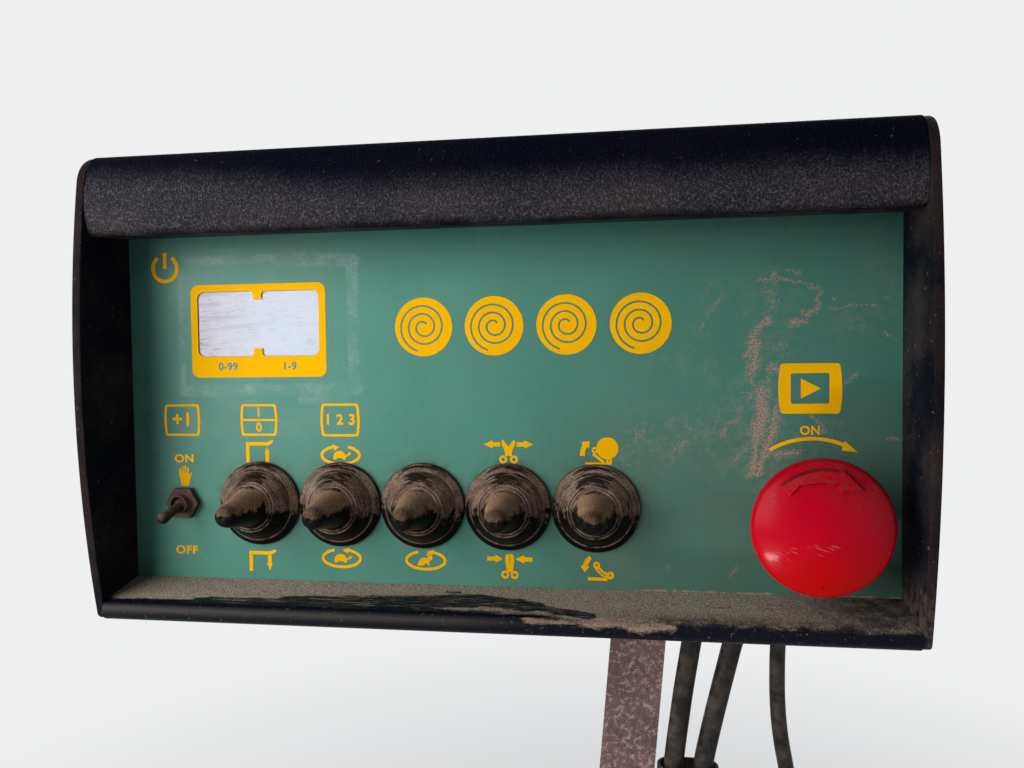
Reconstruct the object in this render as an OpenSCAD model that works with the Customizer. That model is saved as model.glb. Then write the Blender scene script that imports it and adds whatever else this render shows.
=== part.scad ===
// In-cab control box of a bale wrapper: a coated sheet housing between two bowed
// cheeks, a green control panel with booted levers, a small toggle and a stop
// button, on a leaning square post with a bolted foot.
// Millimetres. X runs to the right along the panel, the panel faces -Y, Z is up.
// The origin is the centre of the foot's bolt pattern, on the foot's underside.

/* [Housing] */
// Width of the panel between the cheeks
panel_w = 252; // [220:1:320]
// Height of the housing
housing_h = 151; // [140:1:180]
// Depth of the housing behind the panel's face
housing_d = 78; // [77:1:100]
// Thickness of the bent sheet
sheet_t = 2; // [1:0.1:2.5]
// Thickness of a cheek
cheek_t = 3; // [2:0.1:5]
// How far a cheek's edge stands out from the panel at its middle
cheek_out = 27; // [25:0.5:34]
// Radius of a cheek's bowed front edge
cheek_bow_r = 400; // [360:5:700]
// How far a cheek's foremost point lies above its middle
cheek_rise = 6.5; // [0:0.5:8]
// Radius of a cheek's upper front corner
cheek_corner_r = 11; // [6:0.5:12]
// Radius of a cheek's lower front corner
cheek_low_r = 2.5; // [1:0.5:6]

/* [Brow and lip] */
// How far the brow stands out from the panel
brow_out = 23.4; // [20:0.1:24]
// Height of the brow's front, from the housing's top
brow_h = 26.6; // [20:0.1:30]
// Radius of the brow's bowed front
brow_bow_r = 30; // [26:1:60]
// Depth of the brow's foremost line under the housing's top
brow_bow_drop = 17; // [16:0.1:18]
// Radius of the brow's upper bend
brow_top_r = 6; // [5:0.5:8]
// Radius of the brow's lower bend
brow_low_r = 2.8; // [2.6:0.1:4]
// Rise of the brow's underside from its front to the panel
brow_rise = 1.9; // [0:0.1:4]
// How far the hood's top lies below the cheeks' top
hood_drop = 0.3; // [0:0.1:2]
// How far the lip stands out from the panel
lip_out = 20.7; // [15:0.1:21]
// Height of the lip's back edge over the housing's underside
lip_h = 9.6; // [8.5:0.1:12]
// Radius of the lip's rounded nose
lip_nose_r = 3.2; // [2.8:0.1:3.8]

/* [Panel and cover] */
// Thickness of the front panel
panel_t = 2; // [1:0.1:3]
// Distance of the display window from the left cheek
window_left = 24.8; // [15:0.1:40]
// Height of the display window's lower edge over the housing's underside
window_up = 85.6; // [80:0.1:90]
// Width of the display window
window_w = 43.3; // [35:0.1:60]
// Height of the display window
window_h = 22; // [15:0.1:24]
// Corner radius of the display window
window_r = 2; // [1:0.1:4]
// Width of the notches that part the window's two halves
notch_w = 3; // [2:0.1:5]
// Depth of those notches
notch_h = 2.2; // [1:0.1:4]
// Thickness of the back cover
cover_t = 1.5; // [1:0.1:3]
// Distance of the cover's screws from its edges
cover_screw_in = 12; // [8:1:20]
// Radius of a cover screw's head
cover_screw_r = 3.5; // [2.5:0.1:5]
// Thickness of a cover screw's head
cover_screw_h = 2; // [1:0.1:3]

/* [Booted levers] */
// Distance from the left cheek to the first lever
lever_first = 46.1; // [42:0.1:50]
// Distance from one lever to the next
lever_pitch = 28.4; // [28.4:0.1:31]
// Height of the levers' row over the housing's underside
lever_up = 35.8; // [30:0.1:45]
// Radius of a boot's rim
boot_r = 14.1; // [13:0.1:14.1]
// Height of a boot's rim
boot_rim_h = 3.6; // [2.5:0.1:4]
// Radius of the ball that a lever turns on
ball_r = 9.6; // [9:0.1:10]
// How far in front of the panel a lever's pivot lies
pivot_out = 2; // [1.5:0.1:2.5]
// How far a lever's tip stands out from the panel
lever_tip_out = 27; // [24:0.5:30]
// Radius of a lever's tip
lever_tip_r = 3.9; // [3:0.1:4.5]
// Radius of a lever's shank at its foot
lever_shank_r = 5.8; // [5:0.1:6.4]
// Radius of a switch's threaded neck behind the panel
switch_neck_r = 5.9; // [4:0.1:8]

/* [Small toggle] */
// Distance of the small toggle from the left cheek
toggle_left = 18.4; // [14:0.1:20]
// Height of the small toggle over the housing's underside
toggle_up = 35.5; // [28:0.1:45]
// Width of its nut across the flats
toggle_nut_af = 10.3; // [9:0.1:12]
// Thickness of its nut
toggle_nut_h = 2.4; // [1.5:0.1:3]
// Radius of its bushing
toggle_bushing_r = 3.2; // [3:0.1:4]
// How far its bushing stands out from the panel
toggle_bushing_out = 5; // [4:0.1:6]
// How far its bat reaches from its pivot
bat_l = 14; // [9:0.1:15]
// Radius of the bat's tip
bat_tip_r = 1.9; // [1.5:0.1:2.2]
// Radius of the bat's neck
bat_neck_r = 1.3; // [1:0.1:1.5]
// Tilt of the bat at rest, down from the panel's normal
bat_tilt = 13.5; // [10:0.5:14]

/* [Stop button] */
// Distance of the stop button from the right cheek
stop_right = 26.9; // [26:0.1:50]
// Height of the stop button over the housing's underside
stop_up = 34.8; // [32:0.1:50]
// Radius of the button's head
head_r = 20; // [16:0.1:20]
// How far the head's top stands out from the panel
head_top = 26.6; // [25:0.1:30]
// How far the head's widest circle stands out from the panel
head_wide = 19.4; // [18.5:0.1:20]
// How far the head's back stands out from the panel
head_back = 13; // [12.5:0.1:14]
// Radius of the head's rounded rim
head_rim_r = 2.8; // [2:0.1:3.5]
// Radius of the button's stem
stem_r = 11; // [9:0.1:12]
// Radius of the boss that the head turns on
boss_r = 7; // [5:0.1:8]
// Length of that boss
boss_l = 5.7; // [4:0.1:6]
// Radius of the button's collar
collar_r = 14.5; // [14:0.1:17]
// How far the collar stands out from the panel
collar_h = 6.5; // [5:0.1:7]

/* [Post and foot] */
// Height of the housing's underside over the foot's underside
foot_drop = 180; // [170:1:260]
// Distance of the right cheek's inner face from the foot's centre
foot_right = 94; // [93:1:110]
// Distance of the post's centre behind the panel's face
post_back = 50; // [48:0.5:52]
// Side of the post's square section
post_side = 20; // [16:0.5:22]
// Wall of the post
post_wall = 2; // [1.5:0.1:3]
// Lean of the post to the right, in degrees
post_lean = 5.2; // [0:0.1:6]
// Width of the foot plate
foot_w = 80; // [74:1:120]
// Depth of the foot plate
foot_d = 60; // [54:1:90]
// Thickness of the foot plate
foot_t = 5; // [3:0.5:8]
// Corner radius of the foot plate
foot_corner_r = 6; // [3:0.5:10]
// Spacing of the foot's holes along X
bolt_dx = 60; // [50:1:62]
// Spacing of the foot's holes along Y
bolt_dy = 40; // [36:1:42]
// Radius of the foot's holes
bolt_hole_r = 4.5; // [3:0.1:5]

/* [Bracket] */
// Thickness of the bracket's steel
bracket_t = 2.5; // [2:0.1:3]
// Length of the bracket's plate, front to back
bracket_l = 53; // [52:0.5:54]
// Width of the bracket's plate and ears
ear_w = 22; // [21:0.5:23]
// Depth of the ears under the housing
ear_drop = 18; // [17:0.5:20]
// Depth of the pivot bolt under the housing
pivot_drop = 11; // [10.8:0.1:11.5]
// Radius of the pivot bolt
pivot_bolt_r = 3; // [2.5:0.1:3.5]
// Width of the pivot bolt's head and nut across the flats
pivot_af = 10; // [8:0.5:10]
// Thickness of the pivot bolt's head
pivot_head_h = 4.2; // [3:0.1:5]
// Thickness of the pivot bolt's nut
pivot_nut_h = 5; // [4:0.1:6]
// Spacing of the bracket's screws
bracket_screw_dy = 40; // [39:0.5:41]
// Radius of a bracket screw
bracket_screw_r = 3; // [2:0.1:3]
// Height of a bracket screw's head
bracket_head_h = 3; // [2:0.1:3.4]

/* [Leads] */
// Width of a gland's hexagon across the flats
gland_af = 13; // [12:0.1:13.4]
// Thickness of a gland's hexagon
gland_hex_h = 4; // [3:0.1:5]
// How far a gland reaches under the housing
gland_drop = 9; // [8:0.5:10]
// Radius of a gland's dome
gland_dome_r = 5.6; // [5:0.1:6]
// Radius of a gland's thread
gland_thread_r = 5.8; // [5:0.1:6]
// Radius of the two thick leads
lead_thick_r = 3.6; // [3:0.1:3.8]
// Radius of the thin lead
lead_thin_r = 2.75; // [2.5:0.05:3.2]
// Radius of a plug
plug_r = 7; // [6:0.1:7.5]
// Length of a plug
plug_l = 38; // [30:0.5:40]
// Width of the tie that holds the two thick leads
tie_w = 5; // [4:0.5:6]
// Thickness of that tie
tie_t = 1.2; // [0.8:0.1:2]

/* [Clearances] */
// Gap between a lever and its ball
ball_gap = 0.3; // [0.2:0.05:0.4]
// Running gap of the stem, the head and the bat's ball
run_gap = 0.08; // [0.03:0.01:0.1]
// Gap of a screw, neck or window in its hole
hole_gap = 0.2; // [0.1:0.05:0.4]
// Gap between the post and the bracket's ears
ear_gap = 0.3; // [0.1:0.1:0.5]

/* [Hidden] */
lever_count = 5;

// Places that the pieces share
panel_x = foot_right - panel_w;
panel_y = -post_back;
base_z = foot_drop;
top_z = base_z + housing_h;
back_y = panel_y + housing_d;
hood_z = top_z - hood_drop;
brow_under_z = top_z - brow_h;
panel_low_z = base_z + sheet_t;
stop_left = panel_w - stop_right;
panel_high_z = brow_under_z + brow_rise + sheet_t;

// Sizes inside the boots and the button that nothing outside depends on
rim_edge = 1;
groove_r = 12.1;
shoulder_r = 10.3;
shoulder_h = 5.6;
ball_shown = 62;
lever_foot_angle = 48;
lever_foot_lip = 0.6;
neck_behind = 8;
bat_ball_r = 2.5;
toggle_bore_back = 1;
stem_behind = 10;
collar_edge = 1;
head_hub_r = 12;
head_underside = 20;
screw_behind = 6;
dome_tip_r = 4.6;
post_top_gap = 1.5;
post_spare = 1.2;
pivot_thread_out = 2;
window_recess = 0.4;
stem_gap = 0.1;
lever_foot_edge = 56;
lever_foot_rise = 1;
gland_dome_h = 2;
plug_nose_in = 1.5;
plug_nose_h = 3;
plug_ring_out = 0.5;
plug_ring_h = 13.3;
plug_tail_h = 9.5;
overcut = 1;

// Where the pivot bolt crosses the leaning post
pivot_z = base_z - pivot_drop;
pivot_x = pivot_z * tan(post_lean);
ear_in = post_side / 2 + ear_gap;
ear_out = ear_in + bracket_t;
bracket_z = base_z - bracket_t;
post_top_z = bracket_z - post_top_gap;

// Columns: distance from the right cheek, distance behind the panel, lead's radius
gland_places = [
    [59, 40, lead_thick_r],
    [44, 40, lead_thick_r],
    [29.5, 40, lead_thin_r]
];

function gland_x(i) = panel_x + panel_w - gland_places[i][0];
function gland_y(i) = panel_y + gland_places[i][1];

// The leads' routes down from their glands: distance to the right, distance down
lead_drops = [
    [
        [0, 0], [-0.2, 4], [-0.7, 8], [-1.4, 12], [-2.4, 18], [-3.4, 24], [-4.5, 31], [-5.6, 39],
        [-6.7, 47], [-7.7, 55], [-8.6, 63], [-9.4, 72], [-9.9, 82], [-10, 93], [-10, 104]
    ],
    [
        [0, 0], [-0.2, 4], [-0.9, 8], [-2, 12], [-3.5, 18], [-5, 24], [-6.7, 31], [-8.6, 39],
        [-10.4, 47], [-12, 55], [-12.8, 63], [-12.4, 72], [-11, 82], [-9.6, 92], [-9, 102]
    ],
    [
        [0, 0], [-0.1, 5], [-0.4, 10], [-0.6, 15], [-0.7, 21], [-0.7, 27], [-0.5, 33], [0, 40],
        [0.9, 47], [2.1, 54], [3.4, 62], [4.5, 71], [5.3, 80], [5.7, 89], [5.8, 98]
    ]
];
lead_routes = [for (i = [0:2]) [for (p = lead_drops[i])
    [gland_x(i) + p[0], gland_y(i), base_z - gland_drop - p[1]]]];
lead_sides = 8;

// The tie lies between this point of the routes and the next
tie_point = 9;
tie_gap = 0.9;

// Points of an arc about [a, b], in n steps from one angle to the other
function arc(a, b, r, from, to, n) =
    [for (i = [0:n]) let (t = from + (to - from) * i / n) [a + r * cos(t), b + r * sin(t)]];

function flip(list) = [for (i = [len(list) - 1:-1:0]) list[i]];

// The brow's bowed front, and the two smaller bends that meet it smoothly
brow_bow_y = panel_y - brow_out + brow_bow_r;
brow_bow_z = top_z - brow_bow_drop;
brow_top_z = hood_z - brow_top_r;
brow_low_z = brow_under_z + brow_low_r;
brow_top_angle = asin((brow_top_z - brow_bow_z) / (brow_bow_r - brow_top_r));
brow_low_angle = asin((brow_bow_z - brow_low_z) / (brow_bow_r - brow_low_r));
brow_top_y = brow_bow_y - (brow_bow_r - brow_top_r) * cos(brow_top_angle);
brow_low_y = brow_bow_y - (brow_bow_r - brow_low_r) * cos(brow_low_angle);
brow_slope = atan2(brow_rise, brow_out);
lip_slope = atan2(lip_h - 2 * lip_nose_r, lip_out - lip_nose_r);

// The hood's outline, from the cover over the brow to the panel, inset by t
function hood_line(t) = concat(
    [[back_y, hood_z - t]],
    arc(brow_top_y, brow_top_z, brow_top_r - t, 90, 180 - brow_top_angle, 10),
    arc(brow_bow_y, brow_bow_z, brow_bow_r - t, 180 - brow_top_angle, 180 + brow_low_angle, 12),
    arc(brow_low_y, brow_low_z, brow_low_r - t, 180 + brow_low_angle, 270 - brow_slope, 6),
    [[panel_y, brow_under_z + brow_rise + t]]
);

// The tray's outline, from the panel over the lip to the cover, inset by t
function tray_line(t) = concat(
    [[panel_y, base_z + lip_h - t]],
    arc(panel_y - lip_out + lip_nose_r, base_z + lip_nose_r, lip_nose_r - t, 90 + lip_slope, 270, 12),
    [[back_y, base_z + t]]
);

// A bent sheet along X between the cheeks, from its outer and inner outlines
module bent_sheet(outer, inner)
    translate([panel_x, 0, 0]) rotate([90, 0, 90])
        linear_extrude(height = panel_w) polygon(concat(outer, flip(inner)));

// Children stand on the panel's face: their z points out of it
module on_panel(left, up)
    translate([panel_x + left, panel_y, base_z + up]) rotate([90, 0, 0]) children();

// Children hang under the housing's floor
module under_floor(x, y) translate([x, y, base_z]) children();

// A prism with a hexagon's width across the flats, standing on z = 0
module hex(af, h) cylinder(h = h, r = af / sqrt(3), $fn = 6);

// A plate with round corners, centred on the z axis
module rounded_plate(w, d, t, r) {
    translate([-w / 2 + r, -d / 2, 0]) cube([w - 2 * r, d, t]);
    translate([-w / 2, -d / 2 + r, 0]) cube([w, d - 2 * r, t]);
    for (sx = [-1, 1], sy = [-1, 1])
        translate([sx * (w / 2 - r), sy * (d / 2 - r), 0]) cylinder(h = t, r = r, $fn = 48);
}

// Where the bracket's screws pass through the housing's floor
module at_bracket_screws()
    for (side = [-1, 1]) under_floor(pivot_x, side * bracket_screw_dy / 2) children();

// Where the glands pass through the housing's floor
module at_gland(i)
    under_floor(gland_x(i), gland_y(i)) children();

module hood()
    color("#1b1a1c") bent_sheet(hood_line(0), hood_line(sheet_t));

module base_tray()
    color("#1b1a1c") difference() {
        bent_sheet(tray_line(0), tray_line(sheet_t));
        at_bracket_screws() translate([0, 0, -overcut])
            cylinder(h = sheet_t + 2 * overcut, r = bracket_screw_r + hole_gap, $fn = 32);
        for (i = [0:2]) at_gland(i) translate([0, 0, -overcut])
            cylinder(h = sheet_t + 2 * overcut, r = gland_thread_r + hole_gap, $fn = 32);
    }

module back_cover()
    color("#1b1a1c") difference() {
        translate([panel_x, back_y - cover_t, panel_low_z])
            cube([panel_w, cover_t, hood_z - sheet_t - panel_low_z]);
        at_cover_screws() translate([0, 0, -cover_t - overcut])
            cylinder(h = cover_t + 2 * overcut, r = cover_screw_r / 2 + hole_gap, $fn = 24);
    }

// Children stand on the cover's outer face: their z points out of it
module at_cover_screws()
    for (x = [cover_screw_in, panel_w - cover_screw_in])
        for (z = [panel_low_z + cover_screw_in, hood_z - sheet_t - cover_screw_in])
            translate([panel_x + x, back_y, z]) rotate([-90, 0, 0]) children();

module cover_screws()
    color("#77736c") at_cover_screws() {
        cylinder(h = cover_screw_h, r = cover_screw_r, $fn = 24);
        translate([0, 0, -screw_behind]) cylinder(h = screw_behind, r = cover_screw_r / 2, $fn = 24);
    }

// One cheek's outline in (y, z): bowed in front with two round corners, square behind
bow_y = panel_y - cheek_out + cheek_bow_r;
bow_z = base_z + housing_h / 2 + cheek_rise;

function corner_angle(z, r) = asin((z - bow_z) / (cheek_bow_r - r));
function corner_y(angle, r) = bow_y - (cheek_bow_r - r) * cos(angle);

module cheek(x) {
    high_z = top_z - cheek_corner_r;
    low_z = base_z + cheek_low_r;
    high_angle = corner_angle(high_z, cheek_corner_r);
    low_angle = corner_angle(low_z, cheek_low_r);
    color("#1b1a1c") translate([x, 0, 0]) rotate([90, 0, 90]) linear_extrude(height = cheek_t)
        polygon(concat(
            [[back_y, base_z], [back_y, top_z]],
            arc(corner_y(high_angle, cheek_corner_r), high_z, cheek_corner_r, 90, 180 - high_angle, 12),
            arc(bow_y, bow_z, cheek_bow_r, 180 - high_angle, 180 - low_angle, 24),
            arc(corner_y(low_angle, cheek_low_r), low_z, cheek_low_r, 180 - low_angle, 270, 8)
        ));
}

module cheek_left() cheek(panel_x - cheek_t);
module cheek_right() cheek(panel_x + panel_w);

// The window's outline grown by g, from its lower left corner: two joined halves
module window_shape(g) {
    difference() {
        translate([window_r - g, -g]) square([window_w - 2 * window_r + 2 * g, window_h + 2 * g]);
        for (z = [-g - overcut, window_h - notch_h + g])
            translate([window_w / 2 - notch_w / 2 + g, z])
                square([notch_w - 2 * g, notch_h + overcut]);
    }
    translate([-g, window_r]) square([window_w + 2 * g, window_h - 2 * window_r]);
    for (x = [window_r, window_w - window_r], z = [window_r, window_h - window_r])
        translate([x, z]) circle(r = window_r + g, $fn = 32);
}

module front_panel()
    color("#56896f") difference() {
        translate([panel_x, panel_y, panel_low_z])
            cube([panel_w, panel_t, panel_high_z - panel_low_z]);
        on_panel(window_left, window_up) translate([0, 0, -panel_t - overcut])
            linear_extrude(height = panel_t + 2 * overcut) window_shape(hole_gap);
        for (i = [0:lever_count - 1])
            on_panel(lever_first + i * lever_pitch, lever_up) panel_hole(switch_neck_r);
        on_panel(toggle_left, toggle_up) panel_hole(toggle_bushing_r);
        on_panel(stop_left, stop_up) panel_hole(stem_r);
    }

module panel_hole(r)
    translate([0, 0, -panel_t - overcut])
        cylinder(h = panel_t + 2 * overcut, r = r + hole_gap, $fn = 48);

module display_window()
    color("#d9dbe0") on_panel(window_left, window_up) translate([0, 0, -panel_t])
        linear_extrude(height = panel_t - window_recess) window_shape(0);

// A boot's rim and the ball under its lever, with the switch's neck behind the panel
module boot(i)
    color("#2a2422") on_panel(lever_first + i * lever_pitch, lever_up)
        rotate_extrude($fn = 72) polygon(concat(
            [
                [0, -neck_behind], [switch_neck_r, -neck_behind], [switch_neck_r, 0],
                [boot_r, 0], [boot_r, boot_rim_h - rim_edge], [boot_r - rim_edge, boot_rim_h],
                [groove_r, boot_rim_h], [shoulder_r, shoulder_h]
            ],
            arc(0, pivot_out, ball_r, 90 - ball_shown, 90, 10)
        ));

// A lever: a concave foot on the ball, a tapered shank and a round tip
module lever(i)
    color("#2a2422") on_panel(lever_first + i * lever_pitch, lever_up)
        rotate_extrude($fn = 72) polygon(concat(
            arc(0, pivot_out, ball_r + ball_gap, 90, 90 - lever_foot_angle, 10),
            arc(0, pivot_out, ball_r + ball_gap + lever_foot_lip, 90 - lever_foot_angle,
                lever_foot_edge, 3),
            [[lever_shank_r, pivot_out + ball_r + lever_foot_rise]],
            arc(0, lever_tip_out - lever_tip_r, lever_tip_r, 0, 90, 10)
        ));

module toggle_body()
    color("#6b5a50") on_panel(toggle_left, toggle_up) difference() {
        union() {
            hex(toggle_nut_af, toggle_nut_h);
            translate([0, 0, -neck_behind])
                cylinder(h = toggle_bushing_out + neck_behind, r = toggle_bushing_r, $fn = 32);
        }
        translate([0, 0, -toggle_bore_back])
            cylinder(h = toggle_bushing_out + toggle_bore_back + overcut, r = bat_ball_r + run_gap, $fn = 48);
    }

// The bat turns about its ball's centre, pivot_out in front of the panel
module toggle_bat()
    color("#6b5a50") on_panel(toggle_left, toggle_up)
        translate([0, 0, pivot_out]) rotate([bat_tilt, 0, 0])
            rotate_extrude($fn = 32) polygon(concat(
                arc(0, 0, bat_ball_r, -90, acos(bat_neck_r / bat_ball_r), 10),
                arc(0, bat_l - bat_tip_r, bat_tip_r, 0, 90, 6)
            ));

module stop_collar()
    color("#202022") on_panel(stop_left, stop_up)
        rotate_extrude($fn = 96) polygon([
            [stem_r + run_gap, 0], [collar_r, 0], [collar_r, collar_h - collar_edge],
            [collar_r - collar_edge, collar_h], [stem_r + run_gap, collar_h]
        ]);

module stop_stem()
    color("#b9b4ad") on_panel(stop_left, stop_up) {
        translate([0, 0, -stem_behind])
            cylinder(h = stem_behind + head_back - stem_gap, r = stem_r, $fn = 96);
        cylinder(h = head_back + boss_l, r = boss_r, $fn = 96);
    }

// The head's dome meets its rim's rounding in one smooth line
rim_x = head_r - head_rim_r;
dome_k = head_top - head_rim_r;
dome_z = (rim_x * rim_x + head_wide * head_wide - dome_k * dome_k) / (2 * (head_wide - dome_k));
dome_angle = atan2(head_wide - dome_z, rim_x);

module stop_head()
    color("#c4101f") on_panel(stop_left, stop_up)
        rotate_extrude($fn = 96) polygon(concat(
            [[boss_r + run_gap, head_back], [head_hub_r, head_back]],
            arc(rim_x, head_wide, head_rim_r, -90 + head_underside, dome_angle, 10),
            arc(0, dome_z, head_top - dome_z, dome_angle, 90, 16),
            [[0, head_back + boss_l + ball_gap], [boss_r + run_gap, head_back + boss_l + ball_gap]]
        ));

module mount_bracket()
    color("#4a3a3a") difference() {
        translate([pivot_x, 0, 0]) {
            translate([-ear_w / 2, -bracket_l / 2, bracket_z]) cube([ear_w, bracket_l, bracket_t]);
            for (y = [-ear_out, ear_in])
                translate([-ear_w / 2, y, base_z - ear_drop])
                    cube([ear_w, bracket_t, ear_drop - bracket_t / 2]);
        }
        at_bracket_screws() translate([0, 0, -bracket_t - overcut])
            cylinder(h = bracket_t + 2 * overcut, r = bracket_screw_r + hole_gap, $fn = 32);
        at_pivot(ear_out + overcut)
            cylinder(h = 2 * (ear_out + overcut), r = pivot_bolt_r + hole_gap, $fn = 48);
    }

// Children start this far in front of the post's centre: their z points back
module at_pivot(front) translate([pivot_x, -front, pivot_z]) rotate([-90, 0, 0]) children();

module bracket_screws()
    color("#77736c") at_bracket_screws() {
        translate([0, 0, -bracket_t - bracket_head_h]) hex(2 * bracket_screw_r * sqrt(3), bracket_head_h);
        translate([0, 0, -bracket_t])
            cylinder(h = bracket_t + sheet_t + screw_behind, r = bracket_screw_r, $fn = 32);
    }

module pivot_bolt()
    color("#77736c") {
        at_pivot(ear_out + pivot_head_h) hex(pivot_af, pivot_head_h);
        at_pivot(ear_out)
            cylinder(h = 2 * ear_out + pivot_nut_h + pivot_thread_out, r = pivot_bolt_r, $fn = 48);
    }

module pivot_nut()
    color("#77736c") at_pivot(-ear_out) difference() {
        hex(pivot_af, pivot_nut_h);
        translate([0, 0, -overcut])
            cylinder(h = pivot_nut_h + 2 * overcut, r = pivot_bolt_r + run_gap, $fn = 48);
    }

module post()
    color("#5c4548") difference() {
        intersection() {
            rotate([0, post_lean, 0]) square_tube(foot_drop * post_spare);
            translate([-foot_drop, -foot_d, foot_t]) cube([2 * foot_drop, 2 * foot_d, post_top_z - foot_t]);
        }
        at_pivot(post_side) cylinder(h = 2 * post_side, r = pivot_bolt_r + hole_gap, $fn = 48);
    }

// A square tube along z that starts well under z = 0, open at both ends
module square_tube(l) {
    bore = post_side - 2 * post_wall;
    translate([0, 0, -post_side]) difference() {
        translate([-post_side / 2, -post_side / 2, 0]) cube([post_side, post_side, l]);
        translate([-bore / 2, -bore / 2, -overcut]) cube([bore, bore, l + 2 * overcut]);
    }
}

module foot_plate()
    color("#5c4548") difference() {
        rounded_plate(foot_w, foot_d, foot_t, foot_corner_r);
        for (sx = [-1, 1], sy = [-1, 1])
            translate([sx * bolt_dx / 2, sy * bolt_dy / 2, -overcut])
                cylinder(h = foot_t + 2 * overcut, r = bolt_hole_r, $fn = 48);
    }

// A cable gland: thread through the floor, hexagon and domed nut under it
module gland(i)
    color("#1f1f21") at_gland(i) {
        translate([0, 0, -gland_hex_h]) rotate([0, 0, 30]) hex(gland_af, gland_hex_h);
        translate([0, 0, -gland_drop]) cylinder(h = gland_drop, r = dome_tip_r, $fn = 48);
        translate([0, 0, -gland_drop + gland_dome_h])
            cylinder(h = gland_drop - gland_dome_h, r = gland_dome_r, $fn = 48);
        cylinder(h = sheet_t + screw_behind, r = gland_thread_r, $fn = 48);
    }

function unit(v) = v / norm(v);

function along(route, i) =
    unit(route[min(i + 1, len(route) - 1)] - route[max(i - 1, 0)]);

// A ring of points about a route's point, square to the route, level at both ends
function ring(route, i, r) =
    let (end = i == 0 || i == len(route) - 1)
    let (t = end ? [0, 0, -1] : along(route, i), s = unit(cross(t, [0, 1, 0])), u = cross(s, t))
    [for (k = [0:lead_sides - 1]) let (a = 360 * (k + 0.5) / lead_sides)
        route[i] + r * (cos(a) * s + sin(a) * u)];

// A lead: one closed tube swept along its route
module lead(i)
    color("#161517") let (route = lead_routes[i], n = len(route), m = lead_sides)
        polyhedron(
            points = [for (j = [0:n - 1]) each ring(route, j, gland_places[i][2])],
            faces = concat(
                [[for (k = [0:m - 1]) k]],
                [for (j = [0:n - 2], k = [0:m - 1])
                    [j * m + k, (j + 1) * m + k, (j + 1) * m + (k + 1) % m, j * m + (k + 1) % m]],
                [[for (k = [m - 1:-1:0]) (n - 1) * m + k]]
            )
        );

// A tie round the two thick leads, a flat band with round ends
module lead_tie() {
    low = tie_place(0);
    high = tie_place(1);
    r = lead_thick_r + tie_gap;
    color("#2a2422") translate([0, 0, low[2] - tie_w / 2]) difference() {
        band(low, high, r + tie_t, tie_w);
        translate([0, 0, -overcut]) band(low, high, r, tie_w + 2 * overcut);
    }
}

function tie_place(i) = (lead_routes[i][tie_point] + lead_routes[i][tie_point + 1]) / 2;

module band(a, b, r, h) {
    for (p = [a, b]) translate([p[0], p[1], 0]) cylinder(h = h, r = r, $fn = 48);
    translate([a[0], a[1] - r, 0]) cube([b[0] - a[0], 2 * r, h]);
}

// A plug under the end of its lead: tail, grip, and a coupling ring
module plug(i)
    color("#1f1f21") let (end = lead_routes[i][len(lead_routes[i]) - 1])
        translate([end[0], end[1], end[2] - plug_l]) rotate_extrude($fn = 48) polygon([
            [0, 0], [plug_r - plug_nose_in, 0], [plug_r - plug_nose_in, plug_nose_h],
            [plug_r + plug_ring_out, plug_nose_h], [plug_r + plug_ring_out, plug_ring_h],
            [plug_r - plug_ring_out, plug_ring_h + 2 * plug_ring_out],
            [plug_r - plug_ring_out, plug_l - plug_tail_h], [dome_tip_r, plug_l], [0, plug_l]
        ]);

hood();
base_tray();
back_cover();
cover_screws();
cheek_left();
cheek_right();
front_panel();
display_window();
boot(0);  // boot_1
boot(1);  // boot_2
boot(2);  // boot_3
boot(3);  // boot_4
boot(4);  // boot_5
lever(0);  // lever_1
lever(1);  // lever_2
lever(2);  // lever_3
lever(3);  // lever_4
lever(4);  // lever_5
toggle_body();
toggle_bat();
stop_collar();
stop_stem();
stop_head();
mount_bracket();
bracket_screws();
pivot_bolt();
pivot_nut();
post();
foot_plate();
gland(0);  // gland_1
gland(1);  // gland_2
gland(2);  // gland_3
lead(0);  // lead_1
lead(1);  // lead_2
lead(2);  // lead_3
lead_tie();
plug(0);  // plug_1
plug(1);  // plug_2
plug(2);  // plug_3
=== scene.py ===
"""Looks of an in-cab control box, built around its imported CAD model. Metres, with panel sizes in mm."""

import math
from functools import partialmethod

import bmesh
import bpy
from mathutils import Matrix, Vector


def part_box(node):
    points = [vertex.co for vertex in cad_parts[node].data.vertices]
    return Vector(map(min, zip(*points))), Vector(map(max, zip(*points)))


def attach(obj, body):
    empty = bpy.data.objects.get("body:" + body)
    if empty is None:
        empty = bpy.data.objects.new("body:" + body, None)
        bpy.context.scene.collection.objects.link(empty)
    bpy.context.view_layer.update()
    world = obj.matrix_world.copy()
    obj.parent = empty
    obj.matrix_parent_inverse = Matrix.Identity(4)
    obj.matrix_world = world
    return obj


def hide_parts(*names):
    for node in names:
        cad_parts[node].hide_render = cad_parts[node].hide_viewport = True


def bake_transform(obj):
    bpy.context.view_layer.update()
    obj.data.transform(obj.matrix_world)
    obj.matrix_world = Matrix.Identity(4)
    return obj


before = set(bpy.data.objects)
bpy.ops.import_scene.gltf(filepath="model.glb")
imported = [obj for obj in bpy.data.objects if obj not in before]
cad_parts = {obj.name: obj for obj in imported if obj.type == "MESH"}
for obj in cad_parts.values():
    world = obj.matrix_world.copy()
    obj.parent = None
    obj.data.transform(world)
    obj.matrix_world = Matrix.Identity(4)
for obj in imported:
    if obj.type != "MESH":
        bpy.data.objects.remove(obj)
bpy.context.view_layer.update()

MM = 0.001

# Places that the pieces share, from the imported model, and the display window's sides on the panel in mm
PANEL_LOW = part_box("front_panel")[0]
HOUSING_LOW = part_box("base_tray")[0].z
TRAY_LIP = 9 * MM
LEVERS = 5
WINDOW_U = (24.8, 68.1)
WINDOW_V = (76.6, 98.6)


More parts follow.
